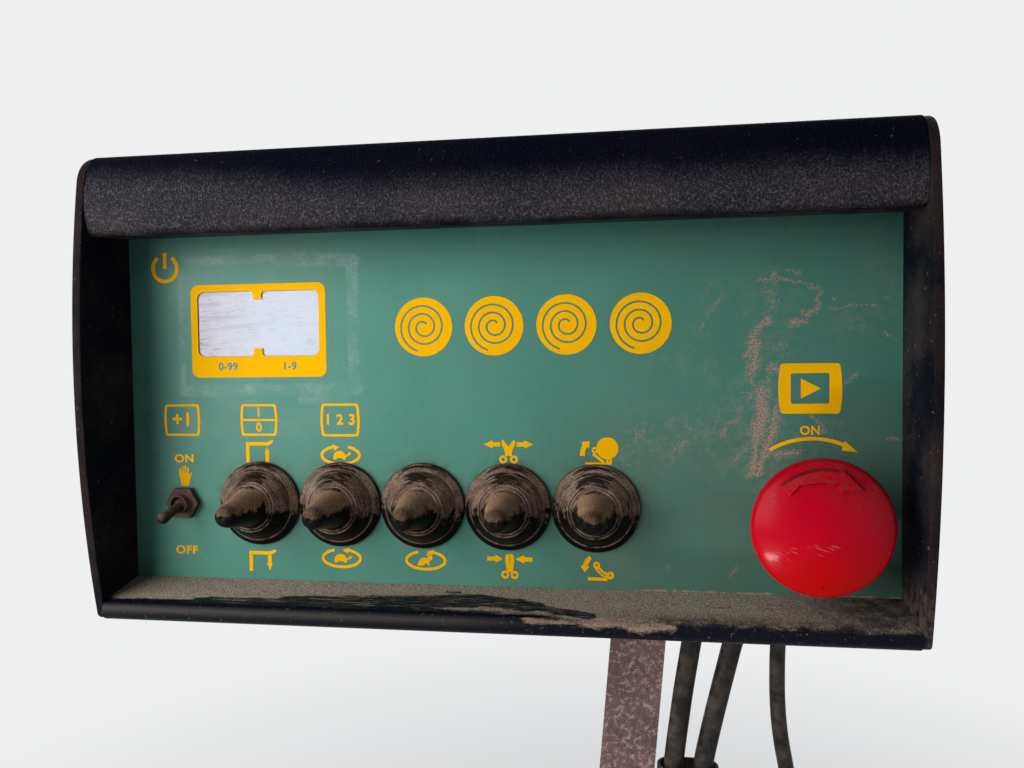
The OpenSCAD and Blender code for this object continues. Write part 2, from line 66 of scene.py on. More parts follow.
def at(u, v, w=0.0):
    """A point from millimetres on the panel: right, up from the lip, and out."""
    return Vector((PANEL_LOW.x + u * MM, PANEL_LOW.y - w * MM, HOUSING_LOW + TRAY_LIP + v * MM))


def centre(node):
    """The middle of a CAD node's box."""
    low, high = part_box(node)
    return (low + high) / 2


def on_panel(point):
    """Millimetres (right, up) of a point, on the panel."""
    return (point.x - PANEL_LOW.x) / MM, (point.z - HOUSING_LOW - TRAY_LIP) / MM


LEVER_AT = [on_panel(centre(f"lever_{i + 1}")) for i in range(LEVERS)]
STOP_AT = on_panel(centre("stop_head"))
TOGGLE_AT = on_panel(centre("toggle_body"))


# Camera

def make_camera():
    data = bpy.data.cameras.new("camera")
    data.sensor_width = 36
    data.lens = 29.287
    data.clip_start = 0.01
    camera = bpy.data.objects.new("camera", data)
    camera.location = (0.01598, -0.31547, 0.26576)
    camera.rotation_euler = [math.radians(a) for a in (87.846, 0.706, 8.736)]
    bpy.context.scene.collection.objects.link(camera)
    bpy.context.scene.camera = camera


# Leads: each has its radius and its route from gland to plug, right and up in mm, as in the part's source

LEAD_Y = -10
LEADS = {
    "lead_machine": (3.6, [
        (35, 171), (34.8, 167), (34.3, 163), (33.6, 159), (32.6, 153), (31.6, 147), (30.5, 140), (29.4, 132),
        (28.3, 124), (27.3, 116), (26.4, 108), (25.6, 99), (25.1, 89), (25, 78), (25, 67),
    ]),
    "lead_monitor": (3.6, [
        (50, 171), (49.8, 167), (49.1, 163), (48, 159), (46.5, 153), (45, 147), (43.3, 140), (41.4, 132),
        (39.6, 124), (38, 116), (37.2, 108), (37.6, 99), (39, 89), (40.4, 79), (41, 69),
    ]),
    "lead_power": (2.75, [
        (64.5, 171), (64.4, 166), (64.1, 161), (63.9, 156), (63.8, 150), (63.8, 144), (64, 138), (64.5, 131),
        (65.4, 124), (66.6, 117), (67.9, 109), (69, 100), (69.8, 91), (70.2, 82), (70.3, 73),
    ]),
}


def smooth_tube(name, points, radius, material):
    """A round bent line through the points."""
    curve = bpy.data.curves.new(name, "CURVE")
    curve.dimensions = "3D"
    curve.bevel_depth = radius
    curve.bevel_resolution = curve.resolution_u = 6
    curve.use_fill_caps = True
    spline = curve.splines.new("BEZIER")
    spline.bezier_points.add(len(points) - 1)
    for knot, point in zip(spline.bezier_points, points):
        knot.co = point
        knot.handle_left_type = knot.handle_right_type = "AUTO"
    return link(bpy.data.objects.new(name, curve), material)


def make_leads(material):
    for number, (name, (radius, route)) in enumerate(LEADS.items(), 1):
        points = [Vector((x, LEAD_Y, z)) * MM for x, z in route]
        lead = smooth_tube(name, points, radius * MM, material)
        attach(lead, "root")
        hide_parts(f"lead_{number}")


# Materials

def feed(socket, value):
    """Gives an input a constant, or links a value to it."""
    if isinstance(value, Value):
        socket.id_data.links.new(value.socket, socket)
    elif socket.type == "RGBA" and len(value) == 3:
        socket.default_value = (*value, 1)
    else:
        socket.default_value = value


def add_node(tree, kind, inputs=(), **settings):
    """A node with its settings, and with its inputs by name or number."""
    node = tree.nodes.new(kind)
    for key, setting in settings.items():
        setattr(node, key, setting)
    for key, value in dict(inputs).items():
        feed(node.inputs[key], value)
    return node


class Value:
    """A node's output. Its operators and methods add the nodes that work on it."""

    def __init__(self, node, output=0):
        self.socket = node.outputs[output]

    def then(self, kind, inputs, output=0, **settings):
        return Value(add_node(self.socket.id_data, kind, inputs, **settings), output)

    def math(self, operation, *others):
        return self.then("ShaderNodeMath", enumerate((self, *others)), operation=operation)

    __add__ = partialmethod(math, "ADD")
    __sub__ = partialmethod(math, "SUBTRACT")
    __mul__ = partialmethod(math, "MULTIPLY")
    __truediv__ = partialmethod(math, "DIVIDE")
    most = partialmethod(math, "MAXIMUM")

    def __rsub__(self, top):
        return self.then("ShaderNodeMath", {0: top, 1: self}, operation="SUBTRACT")

    def part(self, axis):
        return self.then("ShaderNodeSeparateXYZ", {0: self}, axis)

    def step(self, low, high, smooth=True):
        """0 at low and under, 1 at high and over."""
        inputs = {"Value": self, "From Min": low, "From Max": high}
        kind = "SMOOTHSTEP" if smooth else "LINEAR"
        return self.then("ShaderNodeMapRange", inputs, interpolation_type=kind)

    def mix(self, a, b):
        """From colour a where the value is 0 to colour b where it is 1."""
        return self.then("ShaderNodeMix", {0: self, 6: a, 7: b}, 2, data_type="RGBA")

    def blend(self, a, b):
        """From number a where the value is 0 to number b where it is 1."""
        return self.then("ShaderNodeMix", {0: self, 2: a, 3: b}, data_type="FLOAT")

    def bump(self, depth, strength=1.0, **below):
        """A normal, with the value as its height. Normal=... is the one that it starts from."""
        return self.then("ShaderNodeBump", {"Height": self, "Distance": depth, "Strength": strength, **below})

    def from_one(self):
        """1 less the value, kept from 0 to 1."""
        return self.then("ShaderNodeMath", {0: 1.0, 1: self}, operation="SUBTRACT", use_clamp=True)

    def near(self, middle, reach):
        """1 where the value is at the middle, falling to 0 at the reach to either side."""
        return ((self - middle).math("ABSOLUTE") / reach).from_one()


class Shader:
    """One material. Places are in the row frame, in metres."""

    def __init__(self, name, roughness=0.5, metallic=0.0, specular=0.5):
        self.material = bpy.data.materials.new(name)
        self.material.use_nodes = True
        self.tree = self.material.node_tree
        self.surface = self.tree.nodes["Principled BSDF"]
        self.set(Roughness=roughness, Metallic=metallic, Specular_IOR_Level=specular)
        coordinates = self.tree.nodes.new("ShaderNodeTexCoord")
        self.place = Value(coordinates, "Object")
        self.normal = Value(coordinates, "Normal")

    def set(self, **inputs):
        """Feeds the surface and returns the material. An input's name has _ for its spaces."""
        for key, value in inputs.items():
            feed(self.surface.inputs[key.replace("_", " ")], value)
        return self.material

    def value(self, kind, inputs, output=0, **settings):
        return Value(add_node(self.tree, kind, inputs, **settings), output)

    def warped(self, amount, scale):
        """The place, pushed about by a noise."""
        noise = self.value("ShaderNodeTexNoise", {"Vector": self.place, "Scale": scale, "Detail": 3}, "Color")
        push = self.value("ShaderNodeVectorMath", {0: noise, 1: (0.5, 0.5, 0.5)}, operation="SUBTRACT")
        push = self.value("ShaderNodeVectorMath", {0: push, "Scale": amount}, operation="SCALE")
        return self.value("ShaderNodeVectorMath", {0: self.place, 1: push}, operation="ADD")

    def stretched(self, factors, turn=0, place=None):
        """A place for longer features, turned about the panel's normal in degrees."""
        inputs = {"Vector": place or self.place, "Scale": factors, "Rotation": (0, math.radians(turn), 0)}
        return self.value("ShaderNodeMapping", inputs, vector_type="TEXTURE")

    def noise(self, scale, detail=3.0, roughness=0.55, place=None):
        inputs = {"Vector": place or self.place, "Scale": scale, "Detail": detail, "Roughness": roughness}
        return self.value("ShaderNodeTexNoise", inputs)

    def measured(self, point=at(0, 0)):
        """Millimetres right, up and out from a point, or from the panel's corner over the lip."""
        right, back, up = ((self.place.part(axis) - point[axis]) * (1 / MM) for axis in range(3))
        return right, up, back * -1.0

    def round_lever(self):
        """Mm right, up and out from the nearest lever's axis, reach and angle round it, and its number."""
        pitch = (LEVER_AT[-1][0] - LEVER_AT[0][0]) / (LEVERS - 1)
        along, up, out = self.measured(at(*LEVER_AT[0]))
        number = (along / pitch).math("ROUND").most(0.0).math("MINIMUM", LEVERS - 1.0)
        right = along - number * pitch
        reach = (right * right + up * up).math("SQRT")
        return right, up, out, reach, right.math("ARCTAN2", up), number

    def strokes(self, marks, place):
        """A mask of smears: each mark is (u, v), (u, v), half width in mm, and strength at its middle."""
        x, z = place.part(0), place.part(2)
        total = 0.0
        for start, end, half_width, strength in marks:
            a, b = at(*start), at(*end)
            middle, line = (a + b) / 2, b - a
            length, reach = line.length, half_width * MM
            along = line.normalized() if length else Vector((1, 0, 0))
            inputs = {
                "X": x, "Z": z, "Before": total, "Strength": strength,
                "Along X": along.x / reach, "Along Z": along.z / reach,
                "Middle along": -middle.dot(along) / reach,
                "Middle across": (middle.x * along.z - middle.z * along.x) / reach,
                "Half length": length / 2 / reach,
            }
            total = self.value("ShaderNodeGroup", inputs, node_tree=stroke_group())
        return total


STROKE_INPUTS = (
    "X", "Z", "Before", "Strength", "Along X", "Along Z", "Middle along", "Middle across", "Half length",
)


def stroke_group():
    """A node group: its strength on a line in the panel's plane, falling to 0 at the line's half width."""
    if "stroke" in bpy.data.node_groups:
        return bpy.data.node_groups["stroke"]
    tree = bpy.data.node_groups.new("stroke", "ShaderNodeTree")
    for name in STROKE_INPUTS:
        tree.interface.new_socket(name, in_out="INPUT", socket_type="NodeSocketFloat")
    tree.interface.new_socket("Mask", in_out="OUTPUT", socket_type="NodeSocketFloat")
    given = tree.nodes.new("NodeGroupInput")
    x, z, before, strength, along_x, along_z, shift_along, shift_across, half_length = (
        Value(given, name) for name in STROKE_INPUTS
    )
    # A trace of the earlier strokes makes Cycles work them out in turn, so that few values wait
    x = before.math("MULTIPLY_ADD", 1e-7, x)
    along = x.math("MULTIPLY_ADD", along_x, shift_along)
    along = z.math("MULTIPLY_ADD", along_z, along)
    past = (along.math("ABSOLUTE") - half_length).most(0.0)
    across = x.math("MULTIPLY_ADD", along_z * -1.0, shift_across)
    across = z.math("MULTIPLY_ADD", along_x, across)
    away = past.math("MULTIPLY_ADD", past, across * across).math("SQRT")
    add_node(tree, "NodeGroupOutput", {0: (away.from_one() * strength).most(before)})
    return tree


# Colours, linear: the main ones first, and then by piece
GREEN = (0.078, 0.240, 0.182)
INK = (1.0, 0.50, 0.0)
DUST = (0.235, 0.175, 0.135)
MUD = (0.41, 0.295, 0.232)
DAMP_MUD = (0.13, 0.086, 0.066)
HAZE = (0.27, 0.38, 0.35)
COAT = (0.0026, 0.0032, 0.0080)
BARE = (0.030, 0.018, 0.014)

# Panel
BOOT_HALO = (0.085, 0.055, 0.04)
SOIL = (0.11, 0.06, 0.035)

# Hood and lip: painted highlights on the hood's grain and low band, and a painted sheen on the lip
TOP_CREST_HIGHLIGHT = (0.014, 0.016, 0.026)
LIT_BAND_COAT = (0.014, 0.0128, 0.0165)
LIT_BAND_CREST = (0.077, 0.072, 0.088)
COAT_DUST = (0.17, 0.12, 0.098)
LIP_DUST = (0.24, 0.193, 0.15)
PALE_LIP_DUST = (0.5, 0.41, 0.328)
CAKED_DUST = (0.4, 0.27, 0.2)
LIP_SHEEN = (0.052, 0.043, 0.04)

# Boots
RUBBER = (0.006, 0.005, 0.0045)
BOOT_DUST = (0.205, 0.13, 0.094)
PALE_BOOT_DUST = (0.345, 0.238, 0.178)
# Paler dust on the lever's shank, made lighter also as a painted highlight on its lit top
SHANK_DUST_AND_HIGHLIGHT = (0.42, 0.255, 0.15)

# Stop button: its lower half in painted warm light and its upper half, its dust, rubs, packed dirt and pit,
# and the arrow
WARM_LIT_REDS = (0.41, 0.0001, 0.0005), (0.46, 0.0001, 0.0008)
COOL_REDS = (0.38, 0.0001, 0.0095), (0.44, 0.0002, 0.012)
RED_DUST = (0.2, 0.065, 0.05)
RED_RUB = (0.8, 0.2, 0.22)
RED_DIRT = (0.055, 0.009, 0.007)
RED_PIT = (0.12, 0.0, 0.004)
ARROW_RED = (0.43, 0.0003, 0.0105)
ARROW_DUST = (0.17, 0.048, 0.04)
ARROW_DIRT = (0.03, 0.014, 0.011)

# Window: its left and its right, its clouds and its scratches
WINDOW_LEFT = (0.62, 0.59, 0.67)
WINDOW_RIGHT = (0.58, 0.64, 0.73)
WINDOW_CLOUD = (0.67, 0.67, 0.72)
SCRATCH = (0.24, 0.225, 0.27)

# Metal, paint and plastic
ZINC = (0.42, 0.41, 0.39)
METAL_DIRT = (0.10, 0.075, 0.055)
PALE_METAL_DIRT = (0.15, 0.1125, 0.0825)
BLACK_METAL = (0.008, 0.006, 0.005)
TOGGLE_DUST = (0.085, 0.048, 0.037)
PALE_TOGGLE_DUST = (0.15, 0.092, 0.074)
TOGGLE_FLECK = (0.3, 0.19, 0.165)
PAINT = (0.155, 0.088, 0.086)
PALE_PAINT = (0.24, 0.14, 0.128)
PAINT_FLECK = (0.6, 0.43, 0.41)
PAINT_PIT = (0.035, 0.016, 0.012)
PLASTIC = (0.010, 0.010, 0.011)
SHEATH = (0.014, 0.013, 0.012)
TIE = (0.035, 0.024, 0.019)
STEM = (0.30, 0.29, 0.27)


def smears(*lines):
    """Marks along lines: each line is its points (u, v) in mm, its half width and its strength."""
    marks = []
    for points, half_width, strength in lines:
        ends = list(zip(points, points[1:])) or [(points[0], points[0])]
        marks += [(a, b, half_width, strength) for a, b in ends]
    return marks


# Mud on the panel
MUD_MARKS = smears(
    ([(209.9, 97.5), (215.5, 98.9), (220.6, 97.6), (227.3, 95.4)], 1.0, 0.60), ([(214.7, 99.2)], 2.0, 0.7),
    ([(213.1, 94.7)], 2.2, 0.62), ([(215, 90.7)], 2.2, 0.62), ([(222.9, 87.8)], 1.6, 0.6),
    ([(218.2, 100.7), (222, 100)], 0.9, 0.55), ([(228.2, 94.3), (227.6, 90.5), (225.0, 87.2)], 1.6, 0.72),
    ([(232.8, 92.4)], 1.2, 0.6), ([(231, 89.2), (241, 89.8), (244.6, 89.2)], 0.8, 0.55),
    ([(219.4, 84.5), (224.1, 85.2)], 1.9, 0.85), ([(212.6, 85.8), (208.1, 81.0), (206.4, 75.2)], 2.0, 0.90),
    ([(209, 78.2), (208.7, 73), (207.6, 69.8)], 2.7, 0.95), ([(213, 70.8), (214.6, 71.1)], 2.4, 0.85),
    ([(216.7, 78.7), (218.5, 78.7)], 0.9, 0.55), ([(213.8, 76.3)], 1.0, 0.6),
    ([(207.8, 67.7), (209.3, 65.5), (211.4, 65.1)], 1.3, 0.65), ([(204.5, 63.4), (207.8, 63.4)], 0.8, 0.5),
    ([(211.2, 63.4), (210.6, 54)], 3.4, 1.1), ([(210.6, 54), (209.3, 48)], 2.6, 1.1),
    ([(209.3, 48), (207.2, 38)], 1.6, 1.0), ([(215.2, 58.4), (214.2, 51.3)], 2.0, 0.85),
    ([(214.2, 51.3), (212.0, 45.3), (209.5, 38)], 2.3, 1.0), ([(215.2, 44.2), (221.5, 45.2)], 2.2, 0.80),
    ([(225.6, 56.9), (229.1, 51)], 1.1, 0.6), ([(235.5, 66), (238.6, 69)], 0.9, 0.5),
    ([(198.4, 50), (203.9, 56.3)], 1.0, 0.5), ([(182.5, 44.9), (188, 48.4)], 1.0, 0.5),
    ([(173.8, 50)], 2.0, 0.80), ([(171.3, 47.4), (175, 51.9)], 0.8, 0.5),
    ([(167.5, 42.9), (170.6, 40.7)], 0.9, 0.5), ([(196.3, 43.8)], 1.1, 0.5),
    ([(247.9, 49.9), (251.1, 49)], 1.0, 0.5), ([(246.3, 81.6), (249.8, 79.4)], 0.8, 0.45),
    ([(192.4, 83.1), (198.5, 92.3)], 0.7, 0.42), ([(201.5, 5.5), (203, 9)], 1.0, 0.55),
    ([(182, 8)], 1.6, 0.5),
)

# Thin splashes of dust round the mud
SPLASH_MARKS = smears(
    ([(172, 48), (204, 52)], 14, 0.95), ([(206, 42), (211, 66)], 12, 1.3),
    ([(210, 70), (214, 94)], 11, 0.9), ([(222, 47), (232, 52)], 7, 0.9), ([(190, 80), (197, 96)], 8, 0.5),
    ([(236, 84), (248, 92)], 9, 0.5), ([(176, 76), (196, 70)], 9, 0.6),
)

# Haze that a peeled film left round the display
HAZE_MARKS = [
    ((20, 109), (56, 109.5), 2.4, 0.50), ((54, 109), (80.5, 108), 3.0, 0.80),
    ((79.8, 108), (80.2, 66), 2.5, 0.95), ((18.5, 106), (19, 66), 1.8, 0.45),
    ((19, 65), (81, 65.5), 2.8, 0.75), ((62, 62.5), (76, 63), 3.4, 0.50),
]

# Rub marks on the stop button's head
RUB_MARKS = smears(
    ([(216.0, 19.5), (227.0, 21.5)], 2.0, 0.9), ([(208.3, 19.0), (213.5, 17.6)], 2.6, 1.0),
    ([(209.0, 30.0), (211.5, 36.0)], 1.6, 0.5),
)

# Dirt packed along the upper edge of the button's arrow: right and up in mm from the button's middle
RIDGE_LINE = [
    (-11.9, 12.5), (-10.8, 13.7), (-7.3, 15.7), (-4.0, 16.8), (-0.6, 17.3), (2.4, 17.1), (4.5, 16.8),
    (5.2, 17.1), (10.3, 11.9),
]

# Wiped streaks and caked dust on the lip: (u, mm out from the panel and on down the front)
LIP_MARKS = smears(
    ([(9, 22), (32, 20)], 3.4, 1.0), ([(32, 20), (62, 18.5)], 5.4, 1.0),
    ([(62, 18.5), (100, 15.5)], 8.2, 1.0), ([(100, 15), (122, 11.5)], 8.0, 1.0),
    ([(122, 11.5), (141, 14.5)], 5.8, 1.0), ([(141, 15), (158, 20)], 3.4, 1.0),
    ([(112, 5.5), (116, 5.5)], 1.6, 0.6), ([(195, 10.5), (200, 10.5)], 3.4, 0.36),
)
CAKE_MARKS = smears(([(140, 24), (152, 24)], 3.4, 0.7), ([(150, 24), (182, 24.5)], 4.2, 0.75))


def add_grime(shader, base, film_share=1.0, haze_share=0.55):
    """The panel's dust, haze and mud over a base colour. Returns the colour and the mud's mask."""
    broad = shader.noise(150, 4, 0.6)
    haze = shader.strokes(HAZE_MARKS, shader.warped(1.6 * MM, 420))
    haze = haze.step(0.0, 0.42) * broad.step(0.36, 0.62).blend(0.25, 1.0)
    haze *= shader.noise(1250, 4, 0.75).step(0.42, 0.6).blend(0.35, 1.0)
    colour = (haze * haze_share).mix(base, HAZE)
    film = shader.noise(38, 5, 0.62).step(0.4, 0.76)
    specks = shader.noise(1500, 2, 0.5).step(0.62, 0.78)
    film *= specks.blend(0.05 * film_share, 0.22 * film_share)
    colour = film.mix(colour, DUST)
    fine = shader.noise(1500, 5, 0.72)
    splash = shader.strokes(SPLASH_MARKS, shader.warped(9 * MM, 110))
    veil = shader.noise(260, 6, 0.72, place=shader.warped(4 * MM, 300)).step(0.42, 0.7)
    splash *= shader.noise(1300, 4, 0.75).step(0.42, 0.66).blend(0.14, 0.7)
    colour = (splash * veil * film_share ** 0.5).mix(colour, MUD)
    marks = shader.strokes(MUD_MARKS, shader.warped(3.8 * MM, 330))
    body = (marks + (fine - 0.5) * 2.6).step(0.48, 0.68)
    veins = shader.noise(620, 3, 0.6).near(0.5, 0.03).step(0.0, 0.6) * marks.step(0.06, 0.3)
    mud = (body * 0.9).most(veins * 0.8)
    tone = shader.noise(2000, 3, 0.6).step(0.36, 0.56)
    return (mud * 0.9).mix(colour, tone.mix(DAMP_MUD, MUD)), mud


def end_shade(shader):
    """Painted shade that darkens the panel towards its ends and under the brow."""
    u, v, _ = shader.measured()
    left = u.step(0, 28, smooth=False).blend(0.85, 1.0)
    right = u.step(115, 245, smooth=False).blend(1.0, 0.56)
    top = v.step(92, 121).blend(1.0, 0.68)
    return left * right * top


def panel_material():
    shader = Shader("panel_green_film", roughness=0.42, specular=0.14)
    tint = shader.noise(22, 3, 0.5).step(0.3, 0.7)
    base = tint.mix(GREEN, [c * 1.1 for c in GREEN])
    # Painted shade: the green is darkened towards the panel's ends and under the brow
    base = end_shade(shader).mix([c * 0.02 for c in GREEN], base)
    _, up, _, reach, _, _ = shader.round_lever()
    halo = reach.step(18.5, 14.2) * up.step(-9, 2)
    halo *= shader.noise(260, 5, 0.7).step(0.36, 0.68)
    base = (halo * 0.5).mix(base, BOOT_HALO)
    u, v, _ = shader.measured()
    soil = u.step(120, 175) * v.step(72, 34)
    soil *= shader.noise(70, 5, 0.65).step(0.34, 0.64).blend(0.5, 1.0)
    base = (soil * 0.26).mix(base, SOIL)
    crumbs = v.step(3.2, 0.6) * u.step(140, 180)
    crumbs = (crumbs + shader.noise(330, 5, 0.75)).step(1.4, 1.52)
    base = (crumbs * 0.6).mix(base, MUD)
    colour, mud = add_grime(shader, base)
    brushed = shader.noise(900, 3, 0.6, place=shader.stretched((5, 1, 1), turn=12))
    smooth_film = brushed.bump(0.01 * MM, 0.5)
    rough_mud = shader.noise(1500, 5, 0.72).bump(0.25 * MM, mud, Normal=smooth_film)
    return shader.set(
        Base_Color=colour,
        Roughness=mud.blend(shader.noise(90, 4).step(0.0, 1.6, smooth=False), 0.9),
        Normal=rough_mud,
    )


def ink_material():
    shader = Shader("printed_yellow_ink", roughness=0.5, specular=0.02)
    wear = shader.noise(700, 4, 0.7).step(0.64, 0.8)
    base = shader.noise(60, 3).step(0.3, 0.7).mix(INK, [c * 0.94 for c in INK])
    # Painted shade: the ink is darkened towards the panel's ends and under the brow, then dusted
    base = (wear * 0.08).mix(end_shade(shader).mix([c * 0.68 for c in INK], base), DUST)
    colour, mud = add_grime(shader, base, film_share=0.05, haze_share=0.04)
    return shader.set(Base_Color=colour, Normal=shader.noise(1500, 5, 0.72).bump(0.2 * MM, mud))


def coat_material():
    """Black coat with a pebble grain: dark along the top, and a band low down that is a painted highlight,
    with the grain's crests painted lighter and dust in its lower part.
    """
    shader = Shader("pebble_coat", roughness=0.46, specular=0.02)
    pebbles = shader.noise(1650, 2, 0.5).step(0.38, 0.62)
    u, v, _ = shader.measured()
    v += (shader.noise(60, 5, 0.65) - 0.5) * 8.0
    high = v + u.step(0, 110).blend(-2.0, 4.5)
    # Painted highlight: the band low on the brow's front is painted lighter for the light that falls on it
    worn_and_lit = high.step(137.0, 126.0) * v.step(114.5, 117.5)
    dusty = v.step(128.0, 121.0) * shader.noise(45, 4, 0.6).step(0.3, 0.62)
    front = shader.place.part(1).step(PANEL_LOW.y + 4 * MM, PANEL_LOW.y)
    worn_and_lit, dusty = worn_and_lit * front, dusty * front
    # Painted highlights on the grain's crests: faint along the top, stronger in the painted highlight band
    crest_highlights = pebbles * shader.noise(1300, 3, 0.6).step(0.3, 0.66)
    top = (crest_highlights * 0.3).mix(COAT, TOP_CREST_HIGHLIGHT)
    band = crest_highlights.mix(LIT_BAND_COAT, LIT_BAND_CREST)
    colour = worn_and_lit.mix(top, band)
    grains = shader.noise(1900, 3, 0.7).step(0.44, 0.62)
    specks = shader.noise(900, 1, 0.4).step(0.745, 0.775)
    dust = (dusty * grains.blend(0.04, 0.16)).most(specks * 0.3)
    film = shader.noise(24, 4, 0.6).step(0.4, 0.75) * 0.015
    rear = shader.place.part(1).step(PANEL_LOW.y + 4 * MM, PANEL_LOW.y + 40 * MM)
    settled = shader.noise(30, 5, 0.65).step(0.36, 0.72).blend(0.04, 0.2)
    film = rear.blend(film, settled * grains.blend(0.6, 1.0))
    colour = dust.most(film).mix(colour, COAT_DUST)
    return shader.set(
        Base_Color=colour,
        Roughness=dust.blend(0.42, 0.85),
        Specular_IOR_Level=worn_and_lit.blend(0.003, 0.045).most(rear * 0.3),
        Normal=pebbles.bump(0.2 * MM, 1.0),
    )


def cheek_material():
    """The cheeks' coat, with its front edge worn to brown metal and a scratched inner face."""
    shader = Shader("cheek_coat", roughness=0.5, specular=0.025)
    front = shader.normal.part(1) * -1.0
    edge = front.step(0.35, 0.85)
    chips = shader.noise(210, 5, 0.7, place=shader.stretched((1, 1, 3.2))).step(0.4, 0.6)
    worn_and_lit = edge * chips
    specks = shader.noise(760, 2, 0.5).step(0.69, 0.74)
    grime = shader.noise(40, 5, 0.6).step(0.35, 0.75) * 0.12
    colour = (specks * 0.45).mix(grime.mix(COAT, DUST), DUST)
    u, v, _ = shader.measured()
    settled = v.step(20, -6) * u.step(150, 200)
    settled *= shader.noise(300, 6, 0.75).step(0.34, 0.62)
    colour = (worn_and_lit * 0.6).mix((settled * 0.45).mix(colour, DUST), BARE)
    pebbles = shader.noise(1500, 2, 0.5).step(0.32, 0.68)
    return shader.set(
        Base_Color=colour,
        Roughness=worn_and_lit.blend(0.5, 0.72),
        Normal=(pebbles - worn_and_lit).bump(0.06 * MM, 0.8),
    )


def tray_material():
    """The tray's coat: dusty on its lip's top, wiped in level streaks, and black down its front."""
    shader = Shader("lip_coat", roughness=0.5, specular=0.07)
    u, v, out = shader.measured()
    fold = out + (v * -1.0).most(0.0)
    unfolded = shader.value("ShaderNodeCombineXYZ", {0: shader.place.part(0), 2: fold * MM + at(0, 0).z})
    level = shader.stretched((22, 1, 1), turn=-1.5, place=unfolded)
    streaks = shader.noise(1500, 4, 0.65, place=level)
    ragged = shader.noise(260, 5, 0.7, place=shader.stretched((3, 1, 1), place=unfolded)) - 0.5
    wiped = shader.strokes(LIP_MARKS, unfolded) + ragged * 0.9
    wiped = wiped.step(0.22, 0.4) * streaks.step(0.66, 0.55)
    left_over = shader.noise(2600, 3, 0.6, place=level)
    wiped *= left_over.step(0.53, 0.64).blend(1.0, 0.56)
    rim = fold - u.step(128, 165).blend(19.0, 23.0) + ragged * 9.0
    dusty = rim.step(1.5, -1.5) * (1.0 - wiped)
    grains = shader.noise(2300, 3, 0.7)
    mottled = shader.noise(240, 6, 0.72).step(0.4, 0.62)
    edge = fold.step(13, 23).most(u.step(200, 250)) * u.step(150, 190)
    dusty *= edge.blend(1.0, mottled.blend(0.14, 0.66))
    dusty *= grains.step(0.36, 0.6).blend(0.5, 1.0)
    outside = shader.place.part(1).step(PANEL_LOW.y + 2 * MM, PANEL_LOW.y + 3 * MM)
    film = shader.noise(45, 5, 0.65).step(0.42, 0.7) * 0.2
    specks = shader.noise(900, 3, 0.6).step(0.62, 0.74)
    dusty = outside.blend(dusty.most(specks * 0.3), film)
    cake = (shader.strokes(CAKE_MARKS, unfolded) + ragged * 2.2).step(0.36, 0.7)
    cake = cake * grains.step(0.3, 0.55) * (1.0 - outside)
    colour = dusty.mix(COAT, grains.step(0.35, 0.65).mix(LIP_DUST, PALE_LIP_DUST))
    colour = (cake * 0.8).mix(colour, CAKED_DUST)
    # Painted highlight: a sheen line along the front of the lip's left half
    sheen = fold.near(25.0, 2.6) * u.step(150, 110)
    colour = (sheen * 0.8).mix(colour, LIP_SHEEN)
    cover = dusty.most(cake)
    normal = shader.noise(1500, 2, 0.5).step(0.32, 0.68).bump(0.05 * MM, 0.8)
    return shader.set(
        Base_Color=colour,
        Roughness=cover.blend(0.4, 0.88),
        Normal=(streaks * wiped).bump(0.03 * MM, 0.8, Normal=normal),
    )


def rubber_material():
    """Boot rubber: brown dust above and at the right, wiped in arcs at the top, and glossy black below."""
    shader = Shader("boot_rubber", roughness=0.34, specular=0.045)
    right, up, out, reach, angle, number = shader.round_lever()
    facing = (up * 0.99 + right * 0.1) / reach.most(1.0)
    on_shank = out.step(8.9, 10.4)
    facing -= on_shank * 0.36
    ragged = shader.noise(360, 6, 0.76) - 0.5
    facing += ragged * 2.4
    dusty = facing.step(-0.2, 0.1) * out.step(21.5, 25.5).blend(1.0, 0.35)
    rim = shader.value("ShaderNodeCombineXYZ", {0: reach * 2.6, 1: angle * 1.7, 2: number * 3.7})
    scratches = shader.noise(1.0, 4, 0.7, place=rim)
    wiped = 0.0
    for radius, half_width, spread in ((13.2, 1.0, 48), (10.0, 2.4, 44), (6.3, 0.9, 34)):
        arc = reach.near(radius, half_width).math("MINIMUM", angle.near(0.0, math.radians(spread)))
        wiped = arc.most(wiped)
    wiped = (wiped + (scratches - 0.5) * 4.2).step(0.25, 0.5) * (1.0 - on_shank)
    dusty *= wiped.blend(1.0, 0.06)
    lines = reach.near(8.2, 0.4).most(reach.near(12.1, 0.4)).most(reach.near(7.3, 0.4))
    lines *= shader.noise(420, 4, 0.7).step(0.34, 0.56)
    dusty = dusty.most(lines) * reach.step(13.75, 14.0).blend(1.0, 0.3)
    grains = shader.noise(1700, 5, 0.78)
    dusty *= grains.step(0.4, 0.58).blend(0.4, 1.0)
    brown = shader.noise(170, 4).step(0.35, 0.65).mix(BOOT_DUST, PALE_BOOT_DUST)
    # Dust on the shank, painted paler as a highlight where the shank is lit on top
    brown = (on_shank * 0.8).mix(brown, SHANK_DUST_AND_HIGHLIGHT)
    return shader.set(
        Base_Color=dusty.mix(RUBBER, brown),
        Roughness=dusty.blend(0.38, 0.88),
        Normal=grains.bump(0.1 * MM, dusty.blend(0.15, 1.0)),
    )


